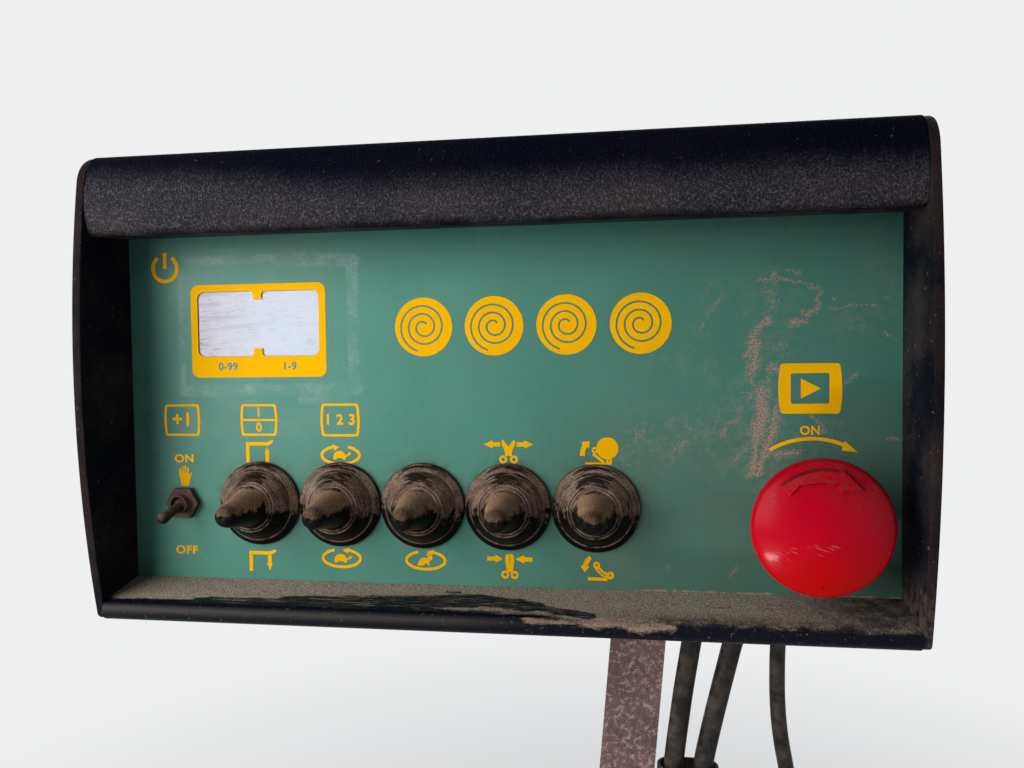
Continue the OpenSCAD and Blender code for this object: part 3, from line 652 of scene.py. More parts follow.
def red_material():
    """The mushroom head: moulded red plastic with painted warm light on its lower half, dulled by dust at its
    upper right, with rub marks.
    """
    shader = Shader("moulded_red", roughness=0.26, specular=0.07)
    tone = shader.noise(45, 3).step(0.3, 0.7)
    right, up, _ = shader.measured(at(*STOP_AT))
    warm_lit = tone.mix(*WARM_LIT_REDS)
    cool = tone.mix(*COOL_REDS)
    # Painted light: the head's lower half is a warmer red for the warm light that falls on it from below
    colour = up.step(-17, 2).mix(warm_lit, cool)
    side = (up * 0.8 + right * 0.6).step(3, 22)
    grains = shader.noise(1500, 4, 0.7).step(0.42, 0.66)
    film = side * shader.noise(230, 5, 0.7).step(0.32, 0.6) * grains
    colour = (film * 0.62).mix(colour, RED_DUST)
    thin = shader.noise(1700, 2, 0.6, place=shader.stretched((9, 1, 1), turn=20))
    handled = shader.strokes(RUB_MARKS, shader.warped(2 * MM, 300))
    rubbed = handled * thin.step(0.6, 0.64)
    colour = (rubbed * 0.35).mix(colour, RED_RUB)
    ridge = [(STOP_AT[0] + x, STOP_AT[1] + y) for x, y in RIDGE_LINE]
    dirt = shader.strokes(smears((ridge, 0.5, 0.9)), shader.warped(0.6 * MM, 600))
    dirt = dirt.step(0.15, 0.5) * shader.noise(520, 4, 0.7).step(0.3, 0.5)
    colour = (dirt * 0.75).mix(colour, RED_DIRT)
    pit = shader.strokes(smears(([(STOP_AT[0] - 0.7, STOP_AT[1] - 16.3)], 0.7, 0.8)), shader.place)
    colour = pit.step(0.2, 0.7).mix(colour, RED_PIT)
    return shader.set(
        Base_Color=colour,
        Roughness=film.blend(handled.step(0.0, 0.5).blend(0.27, 0.17), 0.7),
        Normal=shader.noise(900, 3, 0.6).bump(0.012 * MM, 0.6),
    )


def arrow_material():
    """The raised arrow: the head's red, with dust on its face and dark dirt packed along its upper edge."""
    shader = Shader("arrow_red", roughness=0.45, specular=0.06)
    up = shader.normal.part(2).most(shader.normal.part(0))
    grains = shader.noise(1500, 4, 0.7).step(0.42, 0.62)
    dust = shader.noise(230, 4, 0.6).step(0.3, 0.62) * grains
    colour = (dust * 0.7).mix(ARROW_RED, ARROW_DUST)
    dirt = up.step(0.5, 0.64) * shader.noise(520, 4, 0.7).step(0.28, 0.46)
    colour = dirt.mix(colour, ARROW_DIRT)
    return shader.set(Base_Color=colour, Normal=grains.bump(0.02 * MM, 0.6))


def window_material():
    """The display's cover: silvery white, rubbed by near level scratches, greyer at its left."""
    shader = Shader("silvered_window", roughness=0.36, specular=0.3)
    level = shader.stretched((16, 1, 1), turn=-5)
    fine = shader.noise(2600, 4, 0.7, place=level)
    lines = (fine + shader.noise(130, 4, 0.6) * 0.5).step(0.76, 0.98)
    coarse = shader.noise(560, 3, 0.6, place=level).step(0.5, 0.75)
    lines = lines.most(coarse * 0.7)
    smudges = shader.noise(300, 6, 0.75).step(0.52, 0.7)
    lines = lines.most(smudges * 0.42)
    left, right = (at(u, 0).x for u in WINDOW_U)
    across = shader.place.part(0).step(left, (left + right) / 2 + 6 * MM)
    base = across.mix(WINDOW_LEFT, WINDOW_RIGHT)
    cloud = shader.noise(120, 4).step(0.35, 0.7) * 0.35
    base = cloud.mix(base, WINDOW_CLOUD)
    strength = across.blend(0.8, 0.34)
    colour = (lines * strength).mix(base, SCRATCH)
    return shader.set(Base_Color=colour, Normal=lines.bump(0.01 * MM, 0.4))


def steel_material():
    """Zinc-plated steel under a film of dirt."""
    shader = Shader("zinc_plate")
    spread = shader.noise(320, 5, 0.65)
    mask = spread.step(0.495, 0.635)
    tone = shader.noise(900, 3).step(0.3, 0.7).mix(METAL_DIRT, PALE_METAL_DIRT)
    return shader.set(
        Base_Color=mask.mix(ZINC, tone),
        Metallic=mask.blend(0.9, 0.0),
        Roughness=mask.blend(0.45, 0.82),
        Normal=spread.bump(0.05 * MM, 0.6),
    )


def toggle_material():
    """The small toggle: blackened metal with brown dust on what faces out and up."""
    shader = Shader("dusty_toggle", roughness=0.6, specular=0.10)
    ragged = shader.noise(700, 5, 0.7) - 0.5
    facing = shader.normal.part(2) + ragged * 1.6
    _, _, out = shader.measured()
    facing += out.step(5.0, 6.5).blend(0.45, -0.18)
    dusty = facing.step(-0.4, 0.5)
    brown = shader.noise(420, 4, 0.6).step(0.35, 0.65).mix(TOGGLE_DUST, PALE_TOGGLE_DUST)
    flecks = shader.noise(620, 4, 0.7).step(0.62, 0.72)
    brown = (flecks * 0.45).mix(brown, TOGGLE_FLECK)
    return shader.set(
        Base_Color=dusty.mix(BLACK_METAL, brown),
        Roughness=dusty.blend(0.45, 0.85),
        Normal=ragged.bump(0.1 * MM, 0.8),
    )


def rust_material():
    """The post's old paint: purple-brown with paler pink flecks and pits."""
    shader = Shader("rusty_paint", roughness=0.72, specular=0.2)
    broad = shader.noise(70, 4, 0.6).step(0.32, 0.68)
    colour = broad.mix(PAINT, PALE_PAINT)
    flecks = shader.noise(560, 6, 0.8).step(0.5, 0.58)
    colour = (flecks * 0.7).mix(colour, PAINT_FLECK)
    pits = shader.noise(880, 3, 0.6).step(0.62, 0.7)
    colour = (pits * 0.7).mix(colour, PAINT_PIT)
    height = flecks - pits
    return shader.set(Base_Color=colour, Normal=height.bump(0.09 * MM, 0.8))


def black_plastic_material(name, dust, colour=PLASTIC, roughness=0.42):
    """Black moulded plastic or sheath. Dust is the share of it that lies on the upper side."""
    shader = Shader(name, roughness=roughness, specular=0.15)
    up = shader.normal.part(2).step(-0.35, 0.9)
    patches = shader.noise(170, 5, 0.65).step(0.36, 0.7)
    mask = up.blend(0.35, 1.0) * (patches * dust)
    return shader.set(
        Base_Color=mask.mix(colour, DUST),
        Roughness=mask.blend(roughness, 0.85),
        Normal=shader.noise(1200, 3, 0.6).bump(0.03 * MM, 0.6),
    )


# Shapes in panel millimetres

def arc_points(cx, cy, rx, ry, start, end, steps):
    """Points on an ellipse's arc, in degrees anticlockwise from the right."""
    angles = [math.radians(start + (end - start) * i / steps) for i in range(steps + 1)]
    return [(cx + rx * math.cos(a), cy + ry * math.sin(a)) for a in angles]


def circle(cx, cy, r, steps):
    return arc_points(cx, cy, r, r, 0, 360 - 360 / steps, steps - 1)


def rounded_box(x0, y0, x1, y1, r, bulge=0.0):
    """A rectangle with round corners, whose left and right sides may bulge."""
    points = []
    for i, (cx, cy) in enumerate(((x1 - r, y1 - r), (x0 + r, y1 - r), (x0 + r, y0 + r), (x1 - r, y0 + r))):
        points += arc_points(cx, cy, r, r, 90 * i, 90 * i + 90, 6)
    if not bulge:
        return points
    middle, half = (y0 + y1) / 2, (y1 - y0) / 2
    dense = []
    for (ax, ay), (bx, by) in zip(points, points[1:] + points[:1]):
        parts = 8 if abs(ay - by) > half else 1
        dense += [(ax + (bx - ax) * k / parts, ay + (by - ay) * k / parts) for k in range(parts)]
    bulged = []
    for x, y in dense:
        off = x - (x0 + x1) / 2
        if abs(off) > (x1 - x0) * 0.4:
            x += math.copysign(bulge * (1 - ((y - middle) / half) ** 2), off)
        bulged.append((x, y))
    return bulged


def ribbon(points, width):
    """The outline of a line of some width: mitred at its corners, square at its ends."""
    left, right = [], []
    for i, (x, y) in enumerate(points):
        before = Vector(points[max(i - 1, 0)])
        after = Vector(points[min(i + 1, len(points) - 1)])
        here = Vector((x, y))
        ins = (here - before).normalized() if i else (after - here).normalized()
        outs = (after - here).normalized() if i < len(points) - 1 else ins
        along = (ins + outs).normalized()
        side = Vector((-along.y, along.x)) * (width / 2 / max(0.35, along.dot(ins)))
        left.append((x + side.x, y + side.y))
        right.append((x - side.x, y - side.y))
    return left + right[::-1]


def ring(cx, cy, outer, inner, steps):
    """A round shape with a round hole."""
    return [circle(cx, cy, outer, steps), circle(cx, cy, inner, steps)[::-1]]


def arrow(x0, y0, x1, y1, width, head_l, head_w):
    """A straight arrow from its tail to its tip."""
    along = Vector((x1 - x0, y1 - y0)).normalized()
    side = Vector((-along.y, along.x))
    tail, tip = Vector((x0, y0)), Vector((x1, y1))
    neck = tip - along * head_l
    corners = [tail + side * width / 2, neck + side * width / 2, neck + side * head_w / 2, tip,
               neck - side * head_w / 2, neck - side * width / 2, tail - side * width / 2]
    return [(p.x, p.y) for p in corners]


def moved(shapes, du, dv):
    """Shapes shifted on the panel. A shape is its outline, with any holes after it."""
    return [[[(x + du, y + dv) for x, y in loop] for loop in shape] for shape in shapes]


def mirrored(points):
    """An outline from its left half, whose first and last points lie on the middle line."""
    return points + [(-x, y) for x, y in points[-2:0:-1]]


def link(obj, material):
    """Puts a new object in the scene, with its material."""
    obj.data.materials.append(material)
    bpy.context.scene.collection.objects.link(obj)
    return obj


def new_mesh(name, bm):
    """A mesh from a bmesh, which is freed."""
    mesh = bpy.data.meshes.new(name)
    bm.to_mesh(mesh)
    bm.free()
    return mesh


SHARP_ANGLE = math.radians(34)


def round_edges(obj, width, angle=SHARP_ANGLE):
    """Rounds the edges that are sharper than an angle."""
    bevel = obj.modifiers.new("edge", "BEVEL")
    bevel.width = width * MM
    bevel.segments = 2
    bevel.limit_method = "ANGLE"
    bevel.angle_limit = angle


def mesh_of(source, matrix):
    """A mesh from a curve or text object, welded and moved by a matrix."""
    bpy.context.scene.collection.objects.link(source)
    bpy.context.view_layer.update()
    evaluated = source.evaluated_get(bpy.context.evaluated_depsgraph_get())
    mesh = bpy.data.meshes.new_from_object(evaluated)
    bpy.data.objects.remove(source)
    bm = bmesh.new()
    bm.from_mesh(mesh)
    bmesh.ops.remove_doubles(bm, verts=bm.verts, dist=1e-5)
    bmesh.ops.recalc_face_normals(bm, faces=bm.faces)
    bmesh.ops.transform(bm, matrix=matrix, verts=bm.verts)
    bm.to_mesh(mesh)
    bm.free()
    return mesh


def panel_matrix(u=0.0, v=0.0, w=0.0):
    """From millimetres of right, up and out to the row frame."""
    place = at(u, v, w)
    return Matrix.Translation(place) @ Matrix(((MM, 0, 0, 0), (0, 0, -MM, 0), (0, MM, 0, 0), (0, 0, 0, 1)))


# The ink's back and front, out from the panel in mm, and what each shape of a legend adds
INK_BACK = -0.03
INK_FRONT = 0.07
INK_STEP = 0.004


def flat_mesh(loops, back=INK_BACK, front=INK_FRONT):
    """A thin plate from closed loops in panel millimetres; a loop inside another is a hole."""
    curve = bpy.data.curves.new("outline", "CURVE")
    curve.dimensions = "2D"
    curve.fill_mode = "BOTH"
    curve.extrude = (front - back) / 2
    for loop in loops:
        spline = curve.splines.new("POLY")
        spline.points.add(len(loop) - 1)
        for point, (x, y) in zip(spline.points, loop):
            point.co = (x, y, 0, 1)
        spline.use_cyclic_u = True
    return mesh_of(bpy.data.objects.new("outline", curve), panel_matrix(w=(front + back) / 2))


def print_meshes(shapes):
    """A plate for each shape, each a hair higher than the last, so that shapes may overlap."""
    return [flat_mesh(shape, front=INK_FRONT + INK_STEP * i) for i, shape in enumerate(shapes)]


def text_mesh(words, u, v, height, wide=1.0, back=INK_BACK, front=INK_FRONT):
    """Plain characters centred at (u, v). Height is a capital's, in mm."""
    capital, bold = 0.70, 0.045
    text = bpy.data.curves.new("words", "FONT")
    text.body = words
    text.size = height / capital
    text.offset = bold * height
    text.space_character = 1.08
    text.align_x = text.align_y = "CENTER"
    text.extrude = (front - back) / 2
    text.resolution_u = 6
    matrix = panel_matrix(u, v, (front + back) / 2) @ Matrix.Diagonal((wide, 1, 1, 1))
    return mesh_of(bpy.data.objects.new("words", text), matrix)


def join(name, meshes, material, body="root"):
    """One piece from several meshes that don't touch."""
    bm = bmesh.new()
    for mesh in meshes:
        bm.from_mesh(mesh)
    piece = link(bpy.data.objects.new(name, new_mesh(name, bm)), material)
    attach(piece, body)
    return piece


# Legends: each icon is a list of shapes in millimetres from its own middle

def bracket_icon(is_up):
    """A bent arm with a hook, and an arrow that points up or down."""
    left, low = (-4.9, 13.8) if is_up else (-4.6, -23.5)
    lift = (2.75, 13.9, 2.75, 19.0, 1.3, 2.0, 1.9) if is_up else (2.8, -18.0, 2.8, -23.3, 1.3, 2.6, 2.0)
    arm = [(0, 0), (1.3, 0), (1.3, 5.7), (8.0, 5.7), (9.4, 6.5), (10, 7.3), (9.1, 7.6), (7.5, 6.9), (0, 6.9)]
    return [[[(left + x, low + y) for x, y in arm]], [arrow(*lift)]]


def turn_icon(head_left):
    """An ellipse left open at its top, with an arrowhead at its end, for the turning table."""
    start, end = (66, -246) if head_left else (112, 427)
    band = ribbon(arc_points(0, 0, 6.55, 2.95, start, end, 44), 0.95)
    tip = [(-2.9, 3.5), (-0.3, 2.75), (-2.1, 1.5)] if head_left else [(2.9, 3.7), (0.4, 2.8), (2.2, 1.6)]
    return [[band], [tip]]


def tortoise(head_up):
    """A domed shell on two feet, with a neck and a round head."""
    shell = arc_points(-0.35, -0.75, 2.2, 2.2, 0, 180, 18)
    feet = [
        (-2.6, -0.75), (-2.5, -1.5), (-1.5, -1.5), (-1.3, -1.0),
        (0.6, -1.0), (0.8, -1.5), (1.7, -1.5), (1.9, -0.75),
    ]
    neck = [(1.6, -0.7), (1.8, -0.1), (2.9, head_up + 0.25), (3.1, head_up - 0.3), (2.0, -0.75)]
    return [[shell + feet], [neck], [circle(3.15, head_up, 0.52, 16)]]


def hare():
    return [[[
        (-2.8, -1.84), (-2.66, -1.06), (-2.5, -0.6), (-2.0, 0.3), (-0.83, 0.87), (0.32, 0.87), (1.0, 1.0),
        (0.23, 2.16), (0.78, 2.25), (1.47, 1.56), (1.8, 1.84), (2.25, 1.0), (2.3, 0.4), (1.47, -0.14),
        (1.1, -0.83), (1.56, -1.75), (1.15, -1.75), (0.32, -0.92), (-0.37, -1.29), (-0.83, -1.84),
    ]]]


def open_scissors():
    """Open scissors between arrows that point away."""
    half = [
        (0, 0.76), (-1.83, 3.2), (-2.26, 2.3), (-2.14, 1.2), (-1.38, -0.15), (-1.13, -1.2), (-1.1, -2.3),
        (-0.35, -2.4), (0, -2.0),
    ]
    shapes = [[mirrored(half)]]
    for side in (-1, 1):
        shapes.append(ring(side * 1.78, -3.4, 1.3, 0.62, 24))
        shapes.append([arrow(side * 2.75, 1.5, side * 8.1, 1.5, 1.35, 2.9, 2.65)])
    return shapes


def shut_scissors():
    """Shut scissors between arrows that point in."""
    half = [
        (0, 3.9), (-0.1, 3.9), (-0.1, 6.9), (-1.1, 6.6), (-1.5, 5.7), (-1.45, 4.0), (-1.0, 1.6), (-0.9, 0.9),
        (0, 0.9),
    ]
    shapes = [[mirrored(half)]]
    for side in (-1, 1):
        shapes.append(ring(side * 1.55, 0, 1.35, 0.6, 24))
    shapes.append([arrow(-7.5, 5.16, -2.35, 5.16, 1.4, 2.4, 2.8)])
    shapes.append([arrow(7.45, 5.16, 1.95, 5.16, 1.4, 2.85, 2.8)])
    return shapes


def raised_tip():
    """A tipping arm with the bale on it, over its base, and a curved arrow."""
    turn = [
        (-5.0, 16.8), (-4.7, 18.9), (-4.1, 20.4), (-4.4, 21.1), (-1.8, 21.5), (-2.0, 19.1), (-2.6, 19.7),
        (-3.2, 18.4), (-3.4, 16.7),
    ]
    return [
        [circle(3.8, 19.2, 3.5, 40)], ring(-0.2, 18.6, 1.0, 0.37, 20), ring(4.3, 15.2, 1.0, 0.3, 20),
        [ribbon([(-0.79, 17.4), (2.65, 14.7)], 0.85)], [ribbon([(-3.3, 14.3), (5.2, 14.3)], 0.6)], [turn],
    ]


def lowered_tip():
    """The tipping arm let down beside its base, and a curved arrow."""
    base = ribbon([(-2.8, -22.9), (3.5, -22.9)], 1.0)
    arm = ribbon([(0.1, -19.1), (1.88, -21.0), (3.85, -21.8)], 1.65)
    slot = ribbon([(0.42, -19.6), (1.8, -21.1), (2.9, -21.7)], 0.32)
    turn = [
        (-2.2, -15.3), (-1.5, -16.3), (-2.7, -18.4), (-2.2, -19.1), (-3.8, -20.8), (-5.0, -18.8),
        (-4.3, -18.5), (-3.5, -16.6),
    ]
    joints = [ring(4.4, -21.6, 1.28, 0.37, 20), ring(0.1, -18.4, 1.1, 0.35, 20)]
    return [[base], *joints, [arm, slot[::-1]], [turn]]


def hand():
    """An open hand: a palm, four fingers and a thumb."""
    return [[[
        (-1.3, -3.3), (-1.9, -0.6), (-2.1, 1.1), (-2.2, 2.5), (-1.9, 2.7), (-1.5, 2.5), (-1.3, 0.9),
        (-1.1, 0.9), (-1.15, 3.2), (-0.85, 3.5), (-0.5, 3.2), (-0.4, 1.1), (-0.2, 1.1), (-0.1, 3.6),
        (0.2, 3.9), (0.5, 3.6), (0.5, 1.1), (0.7, 1.0), (0.9, 3.1), (1.2, 3.35), (1.5, 3.0), (1.35, 0.6),
        (1.5, 0.3), (2.0, 1.3), (2.35, 1.35), (2.4, 0.9), (1.9, -1.0), (1.3, -3.3),
    ]]]


def frame_box(u0, v0, u1, v1, width, bulge):
    """A framed box whose outer sides bulge out."""
    inner = rounded_box(u0 + width, v0 + width, u1 - width, v1 - width, 0.6, bulge * 0.7 if width < 1 else 0)
    return [[rounded_box(u0, v0, u1, v1, 0.8, bulge), inner[::-1]]]


def bale_icon(r):
    """A round bale seen from its end: a disc with a spiral line left open in it."""
    turns, first_angle, inner, outer = 2.6, math.radians(40), 0.14, 0.84
    gap, steps = 0.62, 110
    spiral = []
    for i in range(steps + 1):
        share = i / steps
        angle = first_angle + share * turns * 2 * math.pi
        reach = r * (inner + (outer - inner) * share)
        spiral.append((reach * math.cos(angle), reach * math.sin(angle)))
    return [[circle(0, 0, r, 64), ribbon(spiral, gap)[::-1]]]


def printed(name, shapes, ink, *words):
    """A legend from shapes and words. Each word has its place and height, and its width if that isn't 1."""
    join(name, print_meshes(shapes) + [text_mesh(*word) for word in words], ink)


def print_lever_legends(ink):
    low = -18.3
    raised = moved(turn_icon(True) + tortoise(0.45), 0.3, 16.45)
    icons = [
        bracket_icon(True) + bracket_icon(False),
        raised + moved(turn_icon(False) + tortoise(0.35), 0, low),
        moved(turn_icon(False) + hare(), 0.6, low),
        moved(open_scissors(), 0.35, 18.8) + moved(shut_scissors(), 0.35, -22.3),
        raised_tip() + lowered_tip(),
    ]
    for i, (icon, place) in enumerate(zip(icons, LEVER_AT)):
        printed(f"legend_lever_{i + 1}", moved(icon, *place), ink)


def print_framed_legends(ink):
    """Each has its frame, what is drawn in it, and its words."""
    split = [ribbon([(40.4, 55.0), (51.8, 55.0)], 0.7)]
    play = [[(222.6, 61.6), (222.6, 67.8), (228.4, 64.7)]]
    digits = [("1", 46.1, 57.5, 2.9), ("0", 46.1, 52.4, 2.9)]
    legends = {
        "count": ((11.9, 49.5, 24.3, 60.4, 0.75, 0.45), [], [("+1", 18.1, 55, 4.6)]),
        "step": ((39.9, 49.6, 52.3, 60.4, 0.75, 0.45), [split], digits),
        "hold": ((68.5, 49.5, 81.2, 60.5, 0.75, 0.5), [], [("1 2 3", 74.8, 55, 3.4)]),
        "start": ((216.6, 57, 234.0, 72.4, 3.0, 0.7), [play], []),
    }
    for name, (box, drawn, words) in legends.items():
        printed(f"legend_{name}", frame_box(*box) + drawn, ink, *words)


def print_legends(ink, film):
    print_lever_legends(ink)
    printed("legend_display", [[rounded_box(22.4, 69.5, 70.5, 101, 2.6), display_hole()]], ink)
    ranges = (("0-99", 35.5), ("1-9", 57.5))
    meshes = [text_mesh(words, u, 73.1, 2.5, back=0.0, front=0.1) for words, u in ranges]
    join("legend_ranges", meshes, film)
    print_framed_legends(ink)
    printed("legend_power", power_icon(13.2, 107.0, 4.4), ink)
    u, wide = TOGGLE_AT[0], 1.15
    states = ("ON", u + 0.1, 41.6, 2.7, wide), ("OFF", u + 0.2, 9.9, 2.7, wide)
    printed("legend_toggle", moved(hand(), u + 0.2, 35.6), ink, *states)
    sweep = ribbon(arc_points(225.9, 25.5, 23.8, 23.8, 122, 62, 24), 1.1)
    head = [(235.4, 48.6), (239.2, 45.2), (234.6, 45.7)]
    printed("legend_stop", [[sweep], [head]], ink, ("ON", 225.3, 51.7, 2.6))
    first, pitch, bales = 104.0, 23.4, 4
    discs = [shape for i in range(bales) for shape in moved(bale_icon(9.6), first + pitch * i, 85.5)]
    printed("legend_bales", discs, ink)


def display_hole():
    """The display window's outline as a hole in the ink, with a tab at the middle of its top and bottom."""
    middle_u, middle_v = sum(WINDOW_U) / 2, sum(WINDOW_V) / 2
    half_w, half_h, r = WINDOW_U[1] - middle_u, WINDOW_V[1] - middle_v, 2.4
    tab_half_w, tab_h, tab_r = 1.5, 2.7, 1.3
    half = arc_points(r - half_w, r - half_h, r, r, 180, 270, 6)
    half += arc_points(-tab_half_w - tab_r, tab_r - half_h, tab_r, tab_r, 270, 360, 5)
    half += [(-tab_half_w, tab_h - half_h), (tab_half_w, tab_h - half_h)]
    half += arc_points(tab_half_w + tab_r, tab_r - half_h, tab_r, tab_r, 180, 270, 5)
    half += arc_points(half_w - r, r - half_h, r, r, 270, 360, 6)
    loop = half + [(-x, -y) for x, y in half]
    return [(middle_u + x, middle_v + y) for x, y in reversed(loop)]


def power_icon(u, v, r):
    """The common power sign: an open ring and a bar."""
    thick = 1.3
    band = ribbon(arc_points(u, v, r, r, 125, 415, 40), thick)
    left, right, high = u - thick / 2, u + thick / 2, v + r + 0.9
    return [[band], [[(left, v), (right, v), (right, high), (left, high)]]]


# Boots: the rubber over each lever, revolved about the panel's normal

BOOT_PROFILE = [
    (14.1, 0.0), (14.1, 0.9), (13.95, 1.3), (13.2, 1.95), (12.4, 2.55), (12.05, 2.85), (11.8, 2.75),
    (11.6, 3.1), (11.3, 4.0), (10.7, 5.2), (9.9, 6.4), (9.2, 7.3), (8.7, 7.9), (8.45, 8.25), (8.2, 8.35),
    (8.0, 8.1), (7.85, 8.15), (7.6, 8.6), (7.3, 8.8), (7.05, 8.65), (6.75, 9.0), (6.3, 9.8), (5.85, 11.5),
    (5.4, 14.0), (4.9, 17.0), (4.4, 20.0), (3.9, 22.5), (3.5, 24.2), (3.0, 25.6), (2.2, 26.6), (1.3, 26.93),
    (0.9, 26.93), (0.5, 26.8),
]
BOOT_SIDES = 96

# How far out from the panel the rubber would start to follow the lever, and where it would follow it fully;
# make_boots works out these points but the rubber isn't bent
BOOT_BENDS = (3.5, 10.0)


def smooth_line(points, parts):
    """Points on a smooth line through the given ones."""
    out = []
    for i in range(len(points) - 1):
        p = [Vector(points[min(max(k, 0), len(points) - 1)]) for k in (i - 1, i, i + 1, i + 2)]
        for j in range(parts):
            t = j / parts
            out.append(0.5 * (2 * p[1] + (p[2] - p[0]) * t + (2 * p[0] - 5 * p[1] + 4 * p[2] - p[3]) * t ** 2
                              + (3 * p[1] - p[0] - 3 * p[2] + p[3]) * t ** 3))
    out.append(Vector(points[-1]))
    return out


def revolved(name, profile, sides, u, v):
    """A closed mesh turned about the panel's normal, from (radius, out) in mm."""
    bm = bmesh.new()
    rings = []
    for r, w in profile:
        rings.append([bm.verts.new(at(u + r * math.cos(a), v + r * math.sin(a), w))
                      for a in (2 * math.pi * k / sides for k in range(sides))])
    for a, b in zip(rings, rings[1:]):
        for k in range(sides):
            bm.faces.new((a[k], a[(k + 1) % sides], b[(k + 1) % sides], b[k]))
    bm.faces.new(rings[-1])
    bm.faces.new(rings[0][::-1])
    bmesh.ops.recalc_face_normals(bm, faces=bm.faces)
    for face in bm.faces:
        face.smooth = True
    return bpy.data.objects.new(name, new_mesh(name, bm))


def make_boots(material):
    profile = smooth_line(BOOT_PROFILE, 2)
    for i, (u, v) in enumerate(LEVER_AT):
        boot = link(revolved(f"rubber_boot_{i + 1}", profile, BOOT_SIDES, u, v), material)
        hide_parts(f"boot_{i + 1}", f"lever_{i + 1}")
        start, end = (at(u, v, w) for w in BOOT_BENDS)
        f"lever_{i + 1}"
        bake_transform(boot)


# The arrow moulded on the stop button's head

STOP_ARROW = [
    (-11.6, 12.3), (-10.6, 13.3), (-7.2, 15.3), (-4.0, 16.4), (-0.6, 16.9), (2.4, 16.7), (4.6, 16.3),
    (4.8, 16.9), (9.9, 11.7), (3.3, 11.3), (3.3, 13.2), (-0.6, 13.7), (-4.0, 13.5), (-7.3, 12.8),
    (-10.0, 10.0),
]

# The head's front is a dome, up to an edge at this distance from its middle
DOME_RADIUS = 38.6
DOME_EDGE = 18.5


def make_stop_arrow(material):
    """A raised curved arrow that lies on the head's dome, cut every millimetre so that it can bend."""
    raised, sunk, half_thick, edge = 0.85, -0.5, 0.5, 0.22
    u0, v0 = STOP_AT
    top = (PANEL_LOW.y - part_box("stop_head")[0].y) / MM
    mesh = flat_mesh([[(u0 + x, v0 + y) for x, y in STOP_ARROW]], back=-half_thick, front=half_thick)
    bm = bmesh.new()
    bm.from_mesh(mesh)
    cuts = [(at(u0 + cut, v0), (1, 0, 0)) for cut in range(-13, 11)]
    cuts += [(at(u0, v0 + cut), (0, 0, 1)) for cut in range(9, 18)]
    for place, normal in cuts:
        everything = bm.verts[:] + bm.edges[:] + bm.faces[:]
        bmesh.ops.bisect_plane(bm, geom=everything, plane_co=place, plane_no=normal)
    for vert in bm.verts:
        u, v = on_panel(vert.co)
        front = vert.co.y < PANEL_LOW.y
        spread = math.hypot(u - u0, v - v0)
        sink = DOME_RADIUS - math.sqrt(DOME_RADIUS ** 2 - min(spread, DOME_EDGE) ** 2)
        vert.co = at(u, v, top - sink + (raised if front else sunk))
    bm.to_mesh(mesh)
    bm.free()
    piece = join("stop_arrow", [mesh], material, body="stop_head")
    round_edges(piece, edge, math.radians(50))
    for polygon in piece.data.polygons:
        polygon.use_smooth = True
    piece.modifiers.new("normals", "WEIGHTED_NORMAL").keep_sharp = True


# CAD nodes: rounded edges, smooth curves and their materials

def smooth_group():
    """A node group that smooths a mesh and keeps its sharp edges."""
    name = "smooth_by_angle"
    if name in bpy.data.node_groups:
        return bpy.data.node_groups[name]
    tree = bpy.data.node_groups.new(name, "GeometryNodeTree")
    for way in ("INPUT", "OUTPUT"):
        tree.interface.new_socket("Geometry", in_out=way, socket_type="NodeSocketGeometry")
    angle = Value(add_node(tree, "GeometryNodeInputMeshEdgeAngle"), "Unsigned Angle")
    sharp = {"Selection": angle.math("GREATER_THAN", SHARP_ANGLE), "Shade Smooth": False}
    shape = Value(tree.nodes.new("NodeGroupInput"))
    shape = shape.then("GeometryNodeRemoveAttribute", {"Geometry": shape, "Name": "custom_normal"})
    shape = shape.then("GeometryNodeSetShadeSmooth", {"Geometry": shape})
    shape = shape.then("GeometryNodeSetShadeSmooth", {"Geometry": shape, **sharp}, domain="EDGE")
    add_node(tree, "NodeGroupOutput", {0: shape})
    return tree


def dress(node, material, edge):
    """Gives a CAD node its material, rounded edges and smooth curves."""
    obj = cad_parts[node]
    obj.material_slots[0].material = material
    weld = obj.modifiers.new("weld", "WELD")
    weld.merge_threshold = 1e-6
    flat = obj.modifiers.new("flat", "DECIMATE")
    flat.decimate_type = "DISSOLVE"
    flat.angle_limit = math.radians(0.4)
    if edge:
        round_edges(obj, edge)
    obj.modifiers.new("smooth", "NODES").node_group = smooth_group()
    obj.modifiers.new("normals", "WEIGHTED_NORMAL").keep_sharp = True


def dress_all():
    coat = coat_material()
    cheek = cheek_material()
    steel = steel_material()
    toggle = toggle_material()
    rust = rust_material()
    plastic = black_plastic_material("gland_plastic", 0.5)
    sheath = black_plastic_material("lead_sheath", 0.62, SHEATH, roughness=0.5)
    collar = black_plastic_material("collar_plastic", 0.35)
    tie = black_plastic_material("tie_band", 0.7, TIE, roughness=0.7)
    stem = black_plastic_material("stem_plastic", 0.5, STEM)
    film = panel_material()
    looks = [
        (coat, 0.4, "hood"), (coat, 0.3, "back_cover"), (tray_material(), 0.4, "base_tray"),
        (cheek, 0.6, "cheek_left", "cheek_right"),
        (film, 0.0, "front_panel"), (window_material(), 0.15, "display_window"),
        (toggle, 0.35, "toggle_body"), (toggle, 0.0, "toggle_bat"),
        (collar, 0.3, "stop_collar"), (stem, 0.3, "stop_stem"), (red_material(), 0.3, "stop_head"),
        (rust, 0.4, "mount_bracket"), (rust, 0.8, "post"), (rust, 0.6, "foot_plate"),
        (steel, 0.4, "bracket_screws", "pivot_nut"), (steel, 0.5, "cover_screws", "pivot_bolt"),
        (plastic, 0.3, "gland_1", "gland_2", "gland_3"), (plastic, 0.4, "plug_1", "plug_2", "plug_3"),
        (tie, 0.3, "lead_tie"),
    ]
    for material, edge, *nodes in looks:
        for node in nodes:
            dress(node, material, edge)
    return sheath, film


# Stage and light

PALE = (0.86, 0.865, 0.87)


